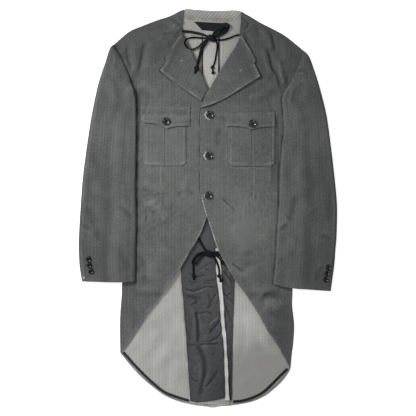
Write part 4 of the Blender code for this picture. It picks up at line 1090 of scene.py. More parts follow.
def rollOver(xy, z, which, level):
    # turn the cloth down over one side as far as a level, as a folded or sewn edge does
    xy, z = fromSide(xy, which), fromSide(z, which)
    if which in ("right", "top"):
        xy, z = xy[:, ::-1], z[:, ::-1]
    drop = np.maximum(z[:, 0] - level(xy[:, 0, 0], xy[:, 0, 1]), 0.0)
    radius = np.minimum(grids["roll"], grids["rollShare"] * drop)
    outward = xy[:, 0] - xy[:, 4]
    outward /= np.linalg.norm(outward, axis=1)[:, None]
    newXy, newZ = [], []
    for angle in np.linspace(0, math.pi / 2, grids["rollReads"] + 1)[1:]:
        newXy.append(xy[:, 0] + outward * (radius * math.sin(angle))[:, None])
        newZ.append(z[:, 0] - radius * (1 - math.cos(angle)))
    newXy.append(newXy[-1] + outward * grids["hair"])
    newZ.append(z[:, 0] - np.maximum(drop, radius + grids["hair"]))
    xy = np.concatenate((np.stack(newXy[::-1], axis=1), xy), axis=1)
    z = np.concatenate((np.stack(newZ[::-1], axis=1), z), axis=1)
    if which in ("right", "top"):
        xy, z = xy[:, ::-1], z[:, ::-1]
    return fromSide(xy, which), fromSide(z, which)


def creaseShadeRidgeWear(z):
    # painted shade darkens the creases, and the ridges are rubbed paler
    smooth = z
    for _ in range(3):
        padded = np.pad(smooth, 2, mode="edge")
        smooth = sum(padded[2 + i:2 + i + len(z), 2 + j:2 + j + z.shape[1]]
                     for i in (-2, 0, 2) for j in (-2, 0, 2)) / 9
    return -0.42 * np.clip(smooth - z, 0, 1.6) + 0.22 * np.clip(z - smooth, 0, 1.2)


def straightWeave(x, y):
    return x, y


def turnedWeave(degrees):
    cos, sin = math.cos(math.radians(degrees)), math.sin(math.radians(degrees))
    return lambda x, y: (x * cos + y * sin, -x * sin + y * cos)


lightAndShadeSpots = [  # painted light and shade: cloth made lighter or darker as light falls on it, darker over the shoulders, the sleeves and the lower tails and lighter over the middle: x, y, reach, amount
    (-150, 450, 90, -0.64), (-225, 400, 60, -0.32), (-90, 390, 60, -0.10), (165, 440, 110, -0.55),
    (110, 330, 80, -0.12), (0, 10, 160, 0.16), (-110, 130, 120, 0.12), (110, 150, 60, -0.15),
    (110, 0, 80, 0.25), (200, -310, 60, -0.38), (-215, -250, 60, -0.12), (-300, -160, 60, -0.12),
    (275, 300, 90, -0.30), (295, 60, 110, -0.30), (290, -150, 100, -0.38), (-20, 320, 90, -0.08),
    (150, -440, 80, -0.75), (80, -480, 60, -0.35), (110, -280, 70, 0.35), (0, 500, 60, -0.30),
    (-275, 280, 90, -0.16), (-290, 60, 110, -0.22), (-290, -90, 90, -0.20), (50, 450, 40, -0.25),
    (-40, 455, 40, -0.25), (5, 340, 40, 0.05), (-211, -147, 40, -0.2), (110, -60, 60, 0.3),
    (120, -430, 60, -0.5), (-240, 120, 60, -0.1), (-225, 250, 60, -0.15),
]


specksAndShade = [  # pale specks, and painted shade in crumpled creases and at the collar's lower ends where the amount is negative: x, y, reach, amount
    (-66, 373, 1.6, 0.45), (83.6, 348.6, 1.6, 0.7), (173.7, 34.4, 2.6, 0.25), (167, -49.7, 2.6, 0.2),
    (-315.5, -179, 2.2, 1.2), (226, 352, 3.5, -0.45), (236, 348, 3.5, -0.6), (246, 350, 3, -0.45),
    (250, 340, 2.5, -0.35), (232, 358, 2.5, 0.12), (-84, 443, 3.6, -0.4), (-77, 436, 2.8, -0.5),
    (-91, 437, 3, -0.3), (-72, 446, 2.6, -0.4), (-110, 379, 2.4, -0.8), (116, 366, 2.0, -0.5),
    (92, 440, 2.6, -0.3),
]


def spread(spots, x, y):
    # round soft spots of pale specks, painted light and painted shade
    total = np.zeros(len(x))
    for spotX, spotY, reach, amount in spots:
        total += amount * np.exp(-((x - spotX) ** 2 + (y - spotY) ** 2) / reach ** 2)
    return total


def layCloth(name, top, bottom, left, right, height, cell=3.0, wall="cloth", rims=(), rolled=(), drawn=(),
             weave=straightWeave, material="faceCloth", underMaterial="reverseCloth", slot="face_cloth",
             stands=None, shade=0.0, closer=(), creases=(), mark=0.16):
    # a cloth piece between four sides: its underside follows height, and its rims are worked in
    columns, lines = gridShares(top, bottom, cell, closer), gridShares(left, right, cell)
    topLinePoints, bottomPoints = readSide(top, columns), readSide(bottom, columns)
    leftPoints, rightPoints = readSide(left, lines), readSide(right, lines)
    u, v = columns[None, :, None], lines[:, None, None]
    xy = ((1 - v) * bottomPoints[None] + v * topLinePoints[None]
          + (1 - u) * leftPoints[:, None] + u * rightPoints[:, None]
          - ((1 - v) * ((1 - u) * bottomPoints[0] + u * bottomPoints[-1])
             + v * ((1 - u) * topLinePoints[0] + u * topLinePoints[-1])))
    loop = np.vstack((xy[0], xy[:, -1], xy[-1, ::-1], xy[::-1, 0]))
    flatArea = abs(np.sum(loop[:-1, 0] * loop[1:, 1] - loop[1:, 0] * loop[:-1, 1])) / 2
    clothX, clothY = weave(xy[..., 0], xy[..., 1])
    thick = layers[wall]
    for which, amount in drawn:
        xy = drawIn(xy, which, amount)
    for which, level in rolled:
        xy = drawIn(xy, which, grids["roll"] + thick)
    x, y = xy[..., 0].ravel(), xy[..., 1].ravel()
    rimHigh, wear = rimEffect(rims, x, y)
    troughs = [(high, 0.5 * width, *points) for high, width, *points in creases if high < 0]
    # painted shade darkens the crease troughs; the specks table adds pale specks and painted shade
    wear += mark * creaseHeight(troughs, x, y) + spread(specksAndShade, x, y)
    z = np.maximum(height(x, y) + np.maximum(rimHigh, grids["rimLow"]), 0).reshape(xy.shape[:2])
    # painted light and shade from the spots table and the creases, the piece's own shade and rubbed ridges
    tone = spread(lightAndShadeSpots, x, y) + shade + creaseShadeRidgeWear(z).ravel()
    extra = [wear.reshape(z.shape), tone.reshape(z.shape), clothX, clothY]
    for which, level in rolled:
        before = z.shape
        xy, z = rollOver(xy, z, which, level)
        added = max(z.shape[0] - before[0], z.shape[1] - before[1])
        edges = {"left": ((0, 0), (added, 0)), "right": ((0, 0), (0, added)),
                 "bottom": ((added, 0), (0, 0)), "top": ((0, added), (0, 0))}[which]
        extra = [np.pad(values, edges, mode="edge") for values in extra]
    wear, tone, clothX, clothY = extra
    rowCount, columnCount = z.shape
    bpy.ops.object.select_all(action="DESELECT")
    bpy.ops.mesh.primitive_grid_add(x_subdivisions=columnCount - 1, y_subdivisions=rowCount - 1, size=2)
    piece = bpy.context.object
    piece.name = piece.data.name = name
    mesh = piece.data
    flat = np.zeros(len(mesh.vertices) * 3, np.float32)
    mesh.vertices.foreach_get("co", flat)
    flat = flat.reshape(-1, 3)
    i = np.round((flat[:, 0] + 1) / 2 * (columnCount - 1)).astype(int)
    j = np.round((flat[:, 1] + 1) / 2 * (rowCount - 1)).astype(int)
    places = np.column_stack((xy[j, i], z[j, i])) * mm
    mesh.vertices.foreach_set("co", places.astype(np.float32).ravel())
    for old in list(mesh.uv_layers):
        mesh.uv_layers.remove(old)
    giveWeave(mesh, clothX[j, i] * mm, clothY[j, i] * mm)
    for label, values in (("wear", wear), ("tone", tone)):
        layer = mesh.attributes.new(label, "FLOAT", "POINT")
        layer.data.foreach_set("value", values[j, i].astype(np.float32))
    mesh.update()
    shell = piece.modifiers.new("wall", "SOLIDIFY")
    shell.thickness, shell.offset, shell.use_even_offset = thick * mm, 1, False
    rounded = piece.modifiers.new("roundedRim", "BEVEL")
    rounded.width, rounded.segments, rounded.limit_method = grids["bevel"] * mm, 2, "ANGLE"
    rounded.angle_limit, rounded.use_clamp_overlap = math.radians(grids["bevelAngle"]), True
    selectOnly(piece)
    for modifier in ("wall", "roundedRim"):
        bpy.ops.object.modifier_apply(modifier=modifier)
    normals = np.zeros(len(mesh.polygons) * 3, np.float32)
    mesh.polygons.foreach_get("normal", normals)
    mesh.materials.append(materials[material])
    mesh.materials.append(materials[underMaterial])
    mesh.polygons.foreach_set("material_index", (normals[2::3] < grids["facesDown"]).astype(np.int32))
    bpy.ops.object.shade_smooth_by_angle(angle=math.radians(60))
    settle(piece, slot, *(stands or (nodeOf(name),)))
    pieces[name] = piece
    low, high = xy.reshape(-1, 2).min(0), xy.reshape(-1, 2).max(0)
    piece["cut"] = [float(high[0] - low[0]) * mm, float(high[1] - low[1]) * mm, float(flatArea) * mm * mm]


def tableLevel(x, y):
    return np.full(len(x), 0.02)


trimmed = 2.6      # how far a lower layer stays inside the fold that covers its side


backCloth = {"cell": 4.2, "material": "reverseCloth", "underMaterial": "faceCloth", "slot": "reverse_cloth",
             "drawn": [("top", trimmed)]}


def makeBacks():
    neckRight, neckLeft = seams["neckRight"], seams["neckLeft"]
    seamRight, seamLeft = neckRight[-1][0], neckLeft[0][0]
    centre = curve([(seamRight, 476), (seamRight, 200), (seamRight, -42)])
    # painted shade in the hem's sewn row and the neck seam, and a painted shadow beside the lining's edges
    layCloth(
        "backRight",
        side((seams["shoulderRight"][:-2] + [neckRight[0]], 14)),
        side((seams["hemRight"][:-3], 6), (seams["hemRight"][-4:], 8)),
        side((seams["sideRight"][::-1], 18), (seams["armholeRight"][::-1], 6)),
        side((between(seams["stripOuter"], -133, -498)[::-1], 9),
             (between(seams["stripOuter"], -102, -133)[::-1], 2),
             ([(float(atY(seams["stripOuter"], -102)), -102), (seamRight, -76)], 2),
             ([(seamRight, -76), (seamRight, -42)], 2), ([(seamRight, -42), neckRight[-1]], 5),
             (neckRight[::-1], 4)),
        backRight,
        rims=[("hem", "hemRight"), ("seam", "neckRight"), ("plain", centre),
              ("flapShade", "liningRight"), ("flapShade", "liningFoot")],
        **backCloth)
    layCloth(
        "backLeft",
        side(([neckLeft[-1]] + seams["shoulderLeft"][1:], 10)),
        side((seams["hemLeft"], 10)),
        side(([(seamLeft, -506.9), neckLeft[0]], 20), (neckLeft, 4)),
        side((seams["sideLeft"][::-1], 18), (seams["armholeLeft"][::-1], 6)),
        onTable,
        rims=[("hem", "hemLeft"), ("seam", "neckLeft"),
              ("flapShade", "liningLeft")],
        shade=-0.12, **backCloth)
    seam = moved(np.vstack((curve(neckRight)[:-1], curve(neckLeft)[1:])), layers["seam"])
    seamPoints = [tuple(point) for point in readAt(seam, np.linspace(0, runAlong(seam)[-1], 30))]
    top = seams["neckTop"]
    # painted shade in the stand's neck seam
    layCloth(
        "collarStand", side((top, 8)), side((seamPoints, 8)),
        side(([seamPoints[0], top[0]], 2)), side(([seamPoints[-1], top[-1]], 2)),
        onTable, cell=2.6, material="standCloth", underMaterial="faceCloth", slot="reverse_cloth",
        weave=turnedWeave(-42), rims=[("edge", curve(top, 8)), ("seam", seam[::6])])


makeBacks()
print("backs made")


# the lining's crease troughs get strong painted shade
liningCloth = {"mark": 0.6, "wall": "thin", "material": "liningCloth", "underMaterial": "liningCloth",
               "slot": "dark_lining"}
trims = {
    "turningTop": 436, "turningEnd": 252, "turningWidth": 19, "bindingWidth": 3.2, "seamX": 7.0,
    "neckLabel": [(-35, 473.5), (46, 469.5), (46, 447), (-15, 452)],
    "sizeTab": [(-11, 451), (15.5, 448), (15.5, 438.5), (-11, 438.5)],
    "tapeWidth": 6.4,
}


def stripe(name, points, width, cells, height, **more):
    middle = curve(points)
    top, bottom = moved(middle, width / 2), moved(middle, -width / 2)
    layCloth(name, side((top[::4], cells)), side((bottom[::4], cells)),
             side(([bottom[0], top[0]], 1)), side(([bottom[-1], top[-1]], 1)), height, **more)


def makeTrims():
    onBack = above(onTable)
    top, bottom = trims["turningTop"], trims["turningEnd"]
    for name, sign in (("Right", -1), ("Left", 1)):
        low, high = sorted((trims["seamX"] + sign * trims["turningWidth"],
                            trims["seamX"] + sign * layers["seam"] / 2))
        outer = low - layers["seam"] - trims["bindingWidth"] if sign < 0 else high + layers["seam"]
        for label, a, b, material, slot in (("turning", low, high, "reverseCloth", "reverse_cloth"),
                                            ("binding", outer, outer + trims["bindingWidth"], "tapeCloth",
                                             "dark_lining")):
            layCloth(
                label + name, side(([(a, top), (b, top)], 1)), side(([(a, bottom), (b, bottom)], 1)),
                side(([(a, bottom), (a, top)], 6)), side(([(b, bottom), (b, top)], 6)),
                onBack, cell=2.0, wall="thin", material=material, underMaterial=material, slot=slot,
                rims=[("plain", [(a, top), (a, bottom)]), ("plain", [(b, top), (b, bottom)])],
                shade=0.12 if label == "turning" else 0.0)
    for name, material, slot, node in (("neckLabel", "wovenLabel", "label", "label"),
                                       ("sizeTab", "tabCloth", "size_tab", "size_tab")):
        topLeft, topRight, lowRight, lowLeft = trims[name]
        layCloth(
            name, side(([topLeft, topRight], 4)), side(([lowLeft, lowRight], 4)),
            side(([lowLeft, topLeft], 2)), side(([lowRight, topRight], 2)), onBack, cell=1.6, wall="thin",
            material=material, underMaterial=material, slot=slot,
            rims=[("plain", [topLeft, topRight]), ("plain", [lowLeft, lowRight])],
            stands=(node,))
    stripInner = shifted(seams["stripInner"][::-1], -layers["seam"])
    # painted shade along the lining's bound edges
    layCloth(
        "liningRight",
        side(([(-72, -15), (-40, -15)], 2), ([(-40, -15), (20, -15)], 7)),
        side((seams["liningFoot"][:2], 2), (seams["liningFoot"][1:], 7)),
        side((seams["liningRight"][::-1], 21)),
        side((seams["liningFoot"][-1:] + stripInner[1:], 16), ([(17.7, -104), (30, -102.5)], 1),
             ([(30, -102.5), (28, -70), (20, -15)], 4)),
        liningRight, cell=1.8, creases=linings["right"],
        rims=[("bound", name) for name in ("liningRight", "liningFoot", "stripInner")],
        **liningCloth)
    # painted shade along the lining's bound edge
    layCloth(
        "liningLeft", side(([(17, -134), (69, -134)], 3)), side(([(36, -491), (61, -491)], 3)),
        side(([(36, -491), (26, -300), (17, -134)], 14)), side((seams["liningLeft"][::-1], 14)),
        liningLeft, cell=2.0, creases=linings["left"], rims=[("bound", "liningLeft")],
        **liningCloth)
    middle = curve([((a[0] + b[0]) / 2, a[1]) for a, b in zip(seams["stripInner"], seams["stripOuter"])], 6)
    # painted shade along the strip's bound edges and in its middle groove
    layCloth(
        "ventStrip", side(([(18, -104), (30.5, -104)], 2)), side(([(44, -491), (55, -491)], 2)),
        side((seams["stripInner"][::-1], 16)), side((seams["stripOuter"][::-1], 16)),
        above(backRight), cell=1.8, material="stripCloth", underMaterial="faceCloth", slot="reverse_cloth",
        rims=[("bound", "stripInner"), ("bound", "stripOuter"), ("midline", middle)],
        shade=0.62)
    for name, node in (("tapeRight", "hem_tape_right"), ("tapeLeft", "hem_tape_left")):
        stripe(name, seams[name], trims["tapeWidth"], 14, onBack, cell=2.4, wall="thin",
               material="tapeCloth", underMaterial="tapeCloth", slot="dark_lining",
               rims=[("plain", name)], stands=(node,))


makeTrims()
print("trims made")


frontRows = {  # short stitched rows on the fronts, under the pockets and at their sides
    "Right": [[(-176, 38), (-124, 38)], [(-182, 15), (-137, 15)], [(-182, 9), (-137, 9)]],
    "Left": [[(118, 104), (118, 8)], [(124, 34), (172, 34)], [(124, -72), (144, -72)],
             [(124, -80), (144, -80)]],
}


def makeFronts():
    # the rims paint shade beside the armhole and the sleeve's inner edge, under the lapel's and the collar's
    # edges, beside the other front's edge and in the armhole seam
    layCloth(
        "frontRight", side((seams["shoulderRight"], 10)), side((seams["cutawayRight"][::-1], 10)),
        side((between(seams["sideRight"], 280, -370)[::-1], 23), (seams["armholeRight"][::-1], 6)),
        side((seams["edgeRight"][::-1], 11), (seams["rollRight"][::-1], 18)),
        frontRight, cell=2.5, creases=fronts["right"],
        rims=[("cutaway", "cutawayRight"), ("rubbed", seamLine("cutawayRight", 24, -150)),
              ("edge", "edgeRight"), ("seam", "armholeRight"),
              ("hollowShade", "armholeRight"), ("hollowShade", seamLine("sleeveInnerRight")[:60]),
              ("plain", "shoulderRight"), ("flapShade", "sleeveInnerRight"),
              ("under", "lapelRight"), ("under", [(-122, 348), (-106, 372)]),
              ("under", "collarRight"), ("under", "edgeLeft"),
              ("pressed", [(-120, 104), (-120, 8)]), *(("pressed", row) for row in frontRows["Right"]),
              ("pressed", [(-107, 20), (-104, 2)])],
        rolled=[("left", tableLevel), ("top", tableLevel)])
    # the rims paint shade beside the sleeve's inner edge, under the lapel's and the collar's edges and in the
    # armhole seam
    layCloth(
        "frontLeft", side((seams["shoulderLeft"], 10)), side((seams["cutawayLeft"], 10)),
        side((seams["edgeLeft"][::-1], 11), (seams["rollLeft"][::-1], 18)),
        side((between(seams["sideLeft"], 277, -413)[::-1], 23), (seams["armholeLeft"][::-1], 6)),
        frontLeft, cell=2.5, creases=fronts["left"],
        rims=[("cutaway", "cutawayLeft"), ("rubbed", seamLine("cutawayLeft", 24, -112)),
              ("edge", "edgeLeft"), ("softSeam", "armholeLeft"),
              ("plain", "shoulderLeft"), ("under", "sleeveInnerLeft"),
              ("under", "lapelLeft"), ("under", [(133, 334), (118, 366)]),
              ("under", "collarLeft"),
              ("paleRow", [(46.5, 240), (47.5, 170), (47, 103)]),
              ("paleRow", [(58, 101), (92, 100), (150, 99)]),
              *(("pressed", row) for row in frontRows["Left"])],
        rolled=[("right", tableLevel), ("top", tableLevel)], shade=-0.04)


makeFronts()
print("fronts made")


lapels = {  # height and outer corner of the gorge, the lapel's tip, the collar's upper end and the cells
    "Right": {"gorge": 372, "corner": -106, "tip": (-122, 348), "collarTop": [(-69, 440), (-64.5, 440)],
              "across": 9, "up": 6, "weave": -24},
    "Left": {"gorge": 366, "corner": 118, "tip": (133, 334), "collarTop": [(83, 436), (86, 436)],
             "across": 10, "up": 8, "weave": 24},
}


def makeLapels():
    for name, base, foldSide in (("Right", frontRight, "right"), ("Left", frontLeft, "left")):
        look = lapels[name]
        gorge, corner, roll = look["gorge"], look["corner"], seams["roll" + name]
        rollX, low = float(atY(roll, gorge)), gorge - layers["seam"]
        gorgeLine = sorted([(corner, gorge), (rollX, gorge)])
        shared = {"cell": 2.4, "rolled": [(foldSide, base)], "weave": turnedWeave(look["weave"])}
        sides = [side((seams["collar" + name][::-1], 6)),
                 side((between(roll, look["collarTop"][0][1], gorge)[::-1], 6))]
        layCloth(
            "collar" + name, side((look["collarTop"], 5)), side((gorgeLine, 5)),
            *(sides if name == "Right" else sides[::-1]), above(base),
            rims=[("lapel", "collar" + name), ("plain", gorgeLine)],
            **shared)
        sides = [side(([look["tip"], (corner, low)], look["up"]))]
        if name == "Right":
            sides.append(side(([(-17, 270), (-1.5, 299)], 2),
                              ([(-1.5, 299), (-9, 320), (-17, 341), (rollX, 371.7)], 4)))
        else:
            sides.insert(0, side((between(roll, low, 252.5)[::-1], look["up"])))
        layCloth(
            "lapel" + name, side((sorted([(corner, low), (rollX, low)]), look["across"])),
            side((seams["lapel" + name], look["across"])), *sides, above(base),
            rims=[("lapel", "lapel" + name), ("lapel", [look["tip"], (corner, gorge)]),
                  ("plain", gorgeLine)],
            **shared)


makeLapels()
print("collar and lapels made")


pockets = {  # box: lower and higher x, top, bottom and cut corner of the patch
    "Right": {"box": (-164, -56, 228, 106, 9), "fold": -110,
              "flapTop": [(-171, 259), (-45, 257)], "first": [(-171, 225), (-161, 216), (-130, 212),
                          (-104, 200)],
              "second": [(-104, 200), (-88, 205), (-46, 208)]},
    "Left": {"box": (51, 170, 228, 105, 9), "fold": 111,
             "flapTop": [(50, 240), (171, 245)], "first": [(47, 206), (85, 205), (112, 198)],
             "second": [(112, 198), (138, 204), (171, 206)]},
}


def flapHeight(base, look):
    # a flap lies on the patch and comes down to the front beside and above it
    low, high, top = look["box"][:3]

    def height(x, y):
        onPatch = step(-7, -1.5, x - low) * step(-7, -1.5, high - x) * step(13, 1.5, y - top)
        return base(x, y) + oneUp * (1 + onPatch)
    return height


def makePockets():
    for name, base in (("Right", frontRight), ("Left", frontLeft)):
        look = pockets[name]
        low, high, top, bottom, corner = look["box"]
        leftEdge, rightEdge = [(low, bottom + corner), (low, top)], [(high, bottom + corner), (high, top)]
        foot = [leftEdge[0], (low + corner, bottom), (high - corner, bottom), rightEdge[0]]
        # painted shade under the flap's lower edges and in the pleat's groove
        layCloth(
            "pocketPatch" + name, side(([(low, top), (high, top)], 7)),
            side((foot[:2], 1), (foot[1:3], 5), (foot[2:], 1)), side((leftEdge, 5)), side((rightEdge, 5)),
            above(base), cell=2.6,
            rims=[("double", leftEdge), ("double", rightEdge), ("double", foot),
                  ("flapShade", curve(look["first"], 6)), ("flapShade", curve(look["second"], 6)),
                  ("paleRow", [(low + 3, bottom + 8), (high - 3, bottom + 8)]),
                  ("paleRow", [(low + 7.5, bottom + 12), (low + 7.5, top - 22)]),
                  ("pleat", np.array([(look["fold"], 200), (look["fold"], bottom + 4)]))],
            shade=0.05,
            closer=((look["fold"] - low) / (high - low),))
        flapTop, first, second = look["flapTop"], look["first"], look["second"]
        ends = [first[0], flapTop[0]], [second[-1], flapTop[1]]
        layCloth(
            "pocketFlap" + name, side((flapTop, 8)), side((first, 4), (second, 4)),
            side((ends[0], 3)), side((ends[1], 3)), flapHeight(base, look), cell=2.6,
            rims=[("double", flapTop), ("flap", curve(first, 6)), ("flap", curve(second, 6)),
                  ("double", ends[0]), ("double", ends[1])],
            shade=0.03)


makePockets()
print("pockets made")


def sleeveWeave(outer, inner):
    def weave(x, y):
        flat = y.ravel()
        middle = ((atY(outer, flat) + atY(inner, flat)) / 2).reshape(y.shape)
        return x - middle, y
    return weave


def makeSleeves():
    for name, outer, inner, clear in (("Right", outerRight, innerRight, -layers["seam"]),
                                      ("Left", outerLeft, innerLeft, layers["seam"])):
        cap, cuff = seams["cap" + name], seams["cuff" + name]
        armhole = shifted(seams["armhole" + name], sleeves["overlap"] * (1 if name == "Right" else -1))
        armhole[0] = cap[1] if name == "Right" else cap[0]
        armhole[-1] = (seams["armhole" + name][-1][0] + clear, seams["armhole" + name][-1][1])
        below = shifted(seams["sleeveInner" + name], clear)
        innerSide = side((below[::-1], 17), (armhole[::-1], 6))
        outerSide = side((outer[::-1], 23))
        left, right = (outerSide, innerSide) if name == "Right" else (innerSide, outerSide)
        # painted shade in the armhole seam, beside the sleeve's inner edge, in the vent's pleat and in the
        # crease troughs
        rims = [("seam" if name == "Right" else "softSeam", curve(armhole, 8)), ("plain", curve(cuff, 8)),
                ("flapShade", curve(seams["sleeveInner" + name], 8)),
                ("pleat", curve(sleeves["vent" + name], 8)),
                ("hollowShade" if name == "Right" else "flapShade", curve(armhole, 8))]
        outerWhich = "left" if name == "Right" else "right"
        innerWhich = "right" if name == "Right" else "left"
        layCloth(
            "underSleeve" + name, side((cap, 6)), side((cuff, 6)), left, right, underCloth, cell=6.5,
            rims=[("plain", curve(cuff, 8))], drawn=[(outerWhich, trimmed), (innerWhich, trimmed)],
            weave=sleeveWeave(outer, inner), underMaterial="faceCloth", material="reverseCloth",
            slot="sleeve_cloth")
        layCloth(
            "topSleeve" + name, side((cap, 6)), side((cuff, 6)), left, right, topSleeve, cell=3.0, rims=rims,
            creases=sleeves[name.lower()], mark=0.06,
            rolled=[(outerWhich, underSleeve), (innerWhich, overFront)], weave=sleeveWeave(outer, inner),
            slot="sleeve_cloth", shade=-0.03)


makeSleeves()
print("sleeves made")


# sewing: one stitch is modelled once, and every row is a joined mesh of its copies
thread = {"radius": 0.27, "length": 2.5, "pitch": 3.3, "sink": 0.05}
insets = {
    "edge": 6.2, "collar": 4.8, "pocket": (1.6, 7.6), "fold": (2, -8), "flap": 6, "cuff": 22, "hem": 4.2,
}


def stitchForm():
    bpy.ops.object.select_all(action="DESELECT")
    bpy.ops.mesh.primitive_cylinder_add(vertices=6, radius=thread["radius"], depth=thread["length"],
                                        rotation=(0, math.pi / 2, 0))
    form = bpy.context.object
    bpy.ops.object.transform_apply(location=False, rotation=True, scale=False)
    bpy.ops.object.mode_set(mode="EDIT")
    bpy.ops.mesh.select_all(action="SELECT")
    bpy.ops.mesh.bisect(plane_co=(0, 0, 0), plane_no=(1, 0, 0))
    bpy.ops.object.mode_set(mode="OBJECT")
    half = thread["length"] / 2
    for vertex in form.data.vertices:
        end = abs(vertex.co.x) / half
        vertex.co.y *= 1 - 0.55 * end
        vertex.co.z = vertex.co.z * (1 - 0.45 * end) - 0.2 * end
    places = np.array([vertex.co for vertex in form.data.vertices])
    faces = [tuple(face.vertices) for face in form.data.polygons]
    bpy.data.objects.remove(form)
    return places, faces


stitchPlaces, stitchFaces = stitchForm()


def sewn(name, stitches, material, slot):
    # stitches: rows of x, y, z, heading, length share and width share
    stitches = np.asarray(stitches, float)
    cos, sin = np.cos(stitches[:, 3])[:, None], np.sin(stitches[:, 3])[:, None]
    localX = stitchPlaces[None, :, 0] * stitches[:, 4:5]
    localY = stitchPlaces[None, :, 1] * stitches[:, 5:6]
    localZ = stitchPlaces[None, :, 2] * stitches[:, 5:6]
    places = np.stack((localX * cos - localY * sin + stitches[:, 0:1],
                       localX * sin + localY * cos + stitches[:, 1:2],
                       localZ + stitches[:, 2:3]), axis=2).reshape(-1, 3) * mm
    count = len(stitchPlaces)
    faces = [tuple(k * count + v for v in face) for k in range(len(stitches)) for face in stitchFaces]
    piece = newPiece(name, places, faces, material)
    selectOnly(piece)
    bpy.ops.object.shade_smooth_by_angle(angle=math.radians(60))
    pieces[name] = settle(piece, slot)


def stitchRow(line, offset, surface, trim=(2, 2)):
    # x, y, z, heading and two whole shares for each stitch of a row beside a line
    line = moved(curve(line, 8), offset)
    total = runAlong(line)[-1]
    run = np.arange(trim[0] + thread["pitch"] / 2, total - trim[1], thread["pitch"])
    places = readAt(line, run)
    ahead = readAt(line, np.minimum(run + 0.8, total)) - readAt(line, np.maximum(run - 0.8, 0))
    heading = np.arctan2(ahead[:, 1], ahead[:, 0]) + 0.06 * np.sin(run * 1.9)
    z = surface(places[:, 0], places[:, 1]) + layers["cloth"] + thread["sink"]
    return np.column_stack((places, z, heading, np.ones((len(run), 2))))


def makeSewing():
    rows = {}
    for name, base, turn in (("Right", frontRight, 1), ("Left", frontLeft, -1)):
        onFront, look, lapel = above(base), pockets[name], lapels[name]
        onFlap = flapHeight(base, look)
        low, high, top, bottom, corner = look["box"]
        flapTop, first, second, fold = look["flapTop"], look["first"], look["second"], look["fold"]
        row = [(seams["cutaway" + name], -turn * insets["edge"], base)]
        if name == "Left":
            row.append((seams["edgeLeft"], insets["edge"], base))
        row += [(seams["collar" + name], turn * insets["collar"], onFront),
                (seams["lapel" + name], insets["collar"], onFront),
                ([lapel["tip"], (lapel["corner"], lapel["gorge"])], -turn * insets["collar"], onFront)]
        if name == "Right":
            row.append(([(-118, 104), (-118, 8)], 0, base))
        row += [(line, 0, base) for line in frontRows[name]]
        for inset in insets["pocket"]:
            row += [([(low, bottom + corner), (low, top - 30)], -inset, onFront),
                    ([(high, bottom + corner), (high, top - 30)], inset, onFront),
                    ([(low + corner, bottom), (high - corner, bottom)], inset, onFront),
                    (flapTop, -inset, onFlap)]
        row += [(first, insets["flap"], onFlap), (second, insets["flap"], onFlap),
                ([first[0], flapTop[0]], -insets["flap"], onFlap),
                ([second[-1], flapTop[1]], insets["flap"], onFlap)]
        row += [([(fold, 196), (fold, bottom + 8)], offset, onFront) for offset in insets["fold"]]
        rows["stitches" + name] = row
    rows["stitchesCuffs"] = [(seams[name], insets["cuff"], topSleeve) for name in ("cuffRight", "cuffLeft")]
    for name, parts in rows.items():
        made = np.vstack([stitchRow(line, offset, surface) for line, offset, surface in parts])
        sewn(name, made, "greyThread", "face_cloth")
    hem = [stitchRow(seams["hemRight"], insets["hem"], onTable),
           stitchRow(seams["hemLeft"], insets["hem"], onTable, trim=(50, 2)),
           stitchRow(seams["neckTop"], -5, onTable), stitchRow(seams["neckTop"], -20, onTable, trim=(14, 14))]
    sewn("stitchesBack", np.vstack(hem), "darkThread", "reverse_cloth")
    print("stitches:", sum(len(pieces[name].data.polygons) for name in pieces if name.startswith("stitches")))


makeSewing()
print("sewing made")


# buttons
buttons = {
    # inset and rise of each ring from the rim inwards, as shares of the radius and the height
    "profile": [(0.04, 0.30), (0.05, 0.14), (0.05, 0.04), (0.05, -0.06), (0.08, -0.21), (0.10, -0.18),
                (0.12, -0.12), (0.12, -0.04)],
    "air": 0.15,                         # between a button and its cloth
    "lean": 0.5,                         # share of the cloth's slope that a button follows
    "front": {"radius": 10.0, "high": 3.6, "holes": 1.15, "holeSpread": 2.5,
              "finish": "polishedButton"},
    "cuff": {"radius": 7.0, "high": 2.8, "holes": 0.9, "holeSpread": 1.9, "finish": "cuffButton"},
    "places": [("frontButtonTop", "front", 5, 236, above(frontLeft, 0)),
               ("frontButtonMiddle", "front", 3, 132, above(frontLeft, 0)),
               ("frontButtonBottom", "front", 2, 31, above(frontLeft, 0)),
               ("pocketButtonRight", "front", -106, 219, above(frontRight, 2)),
               ("pocketButtonLeft", "front", 113, 213, above(frontLeft, 2)),
               ("cuffButtonRight1", "cuff", -303, -131, topSleeve),
               ("cuffButtonRight2", "cuff", -301, -146.5, topSleeve),
               ("cuffButtonRight3", "cuff", -297, -162, topSleeve),
               ("cuffButtonLeft1", "cuff", 306, -152, topSleeve),
               ("cuffButtonLeft2", "cuff", 303, -167.5, topSleeve),
               ("cuffButtonLeft3", "cuff", 299, -183, topSleeve)],
}


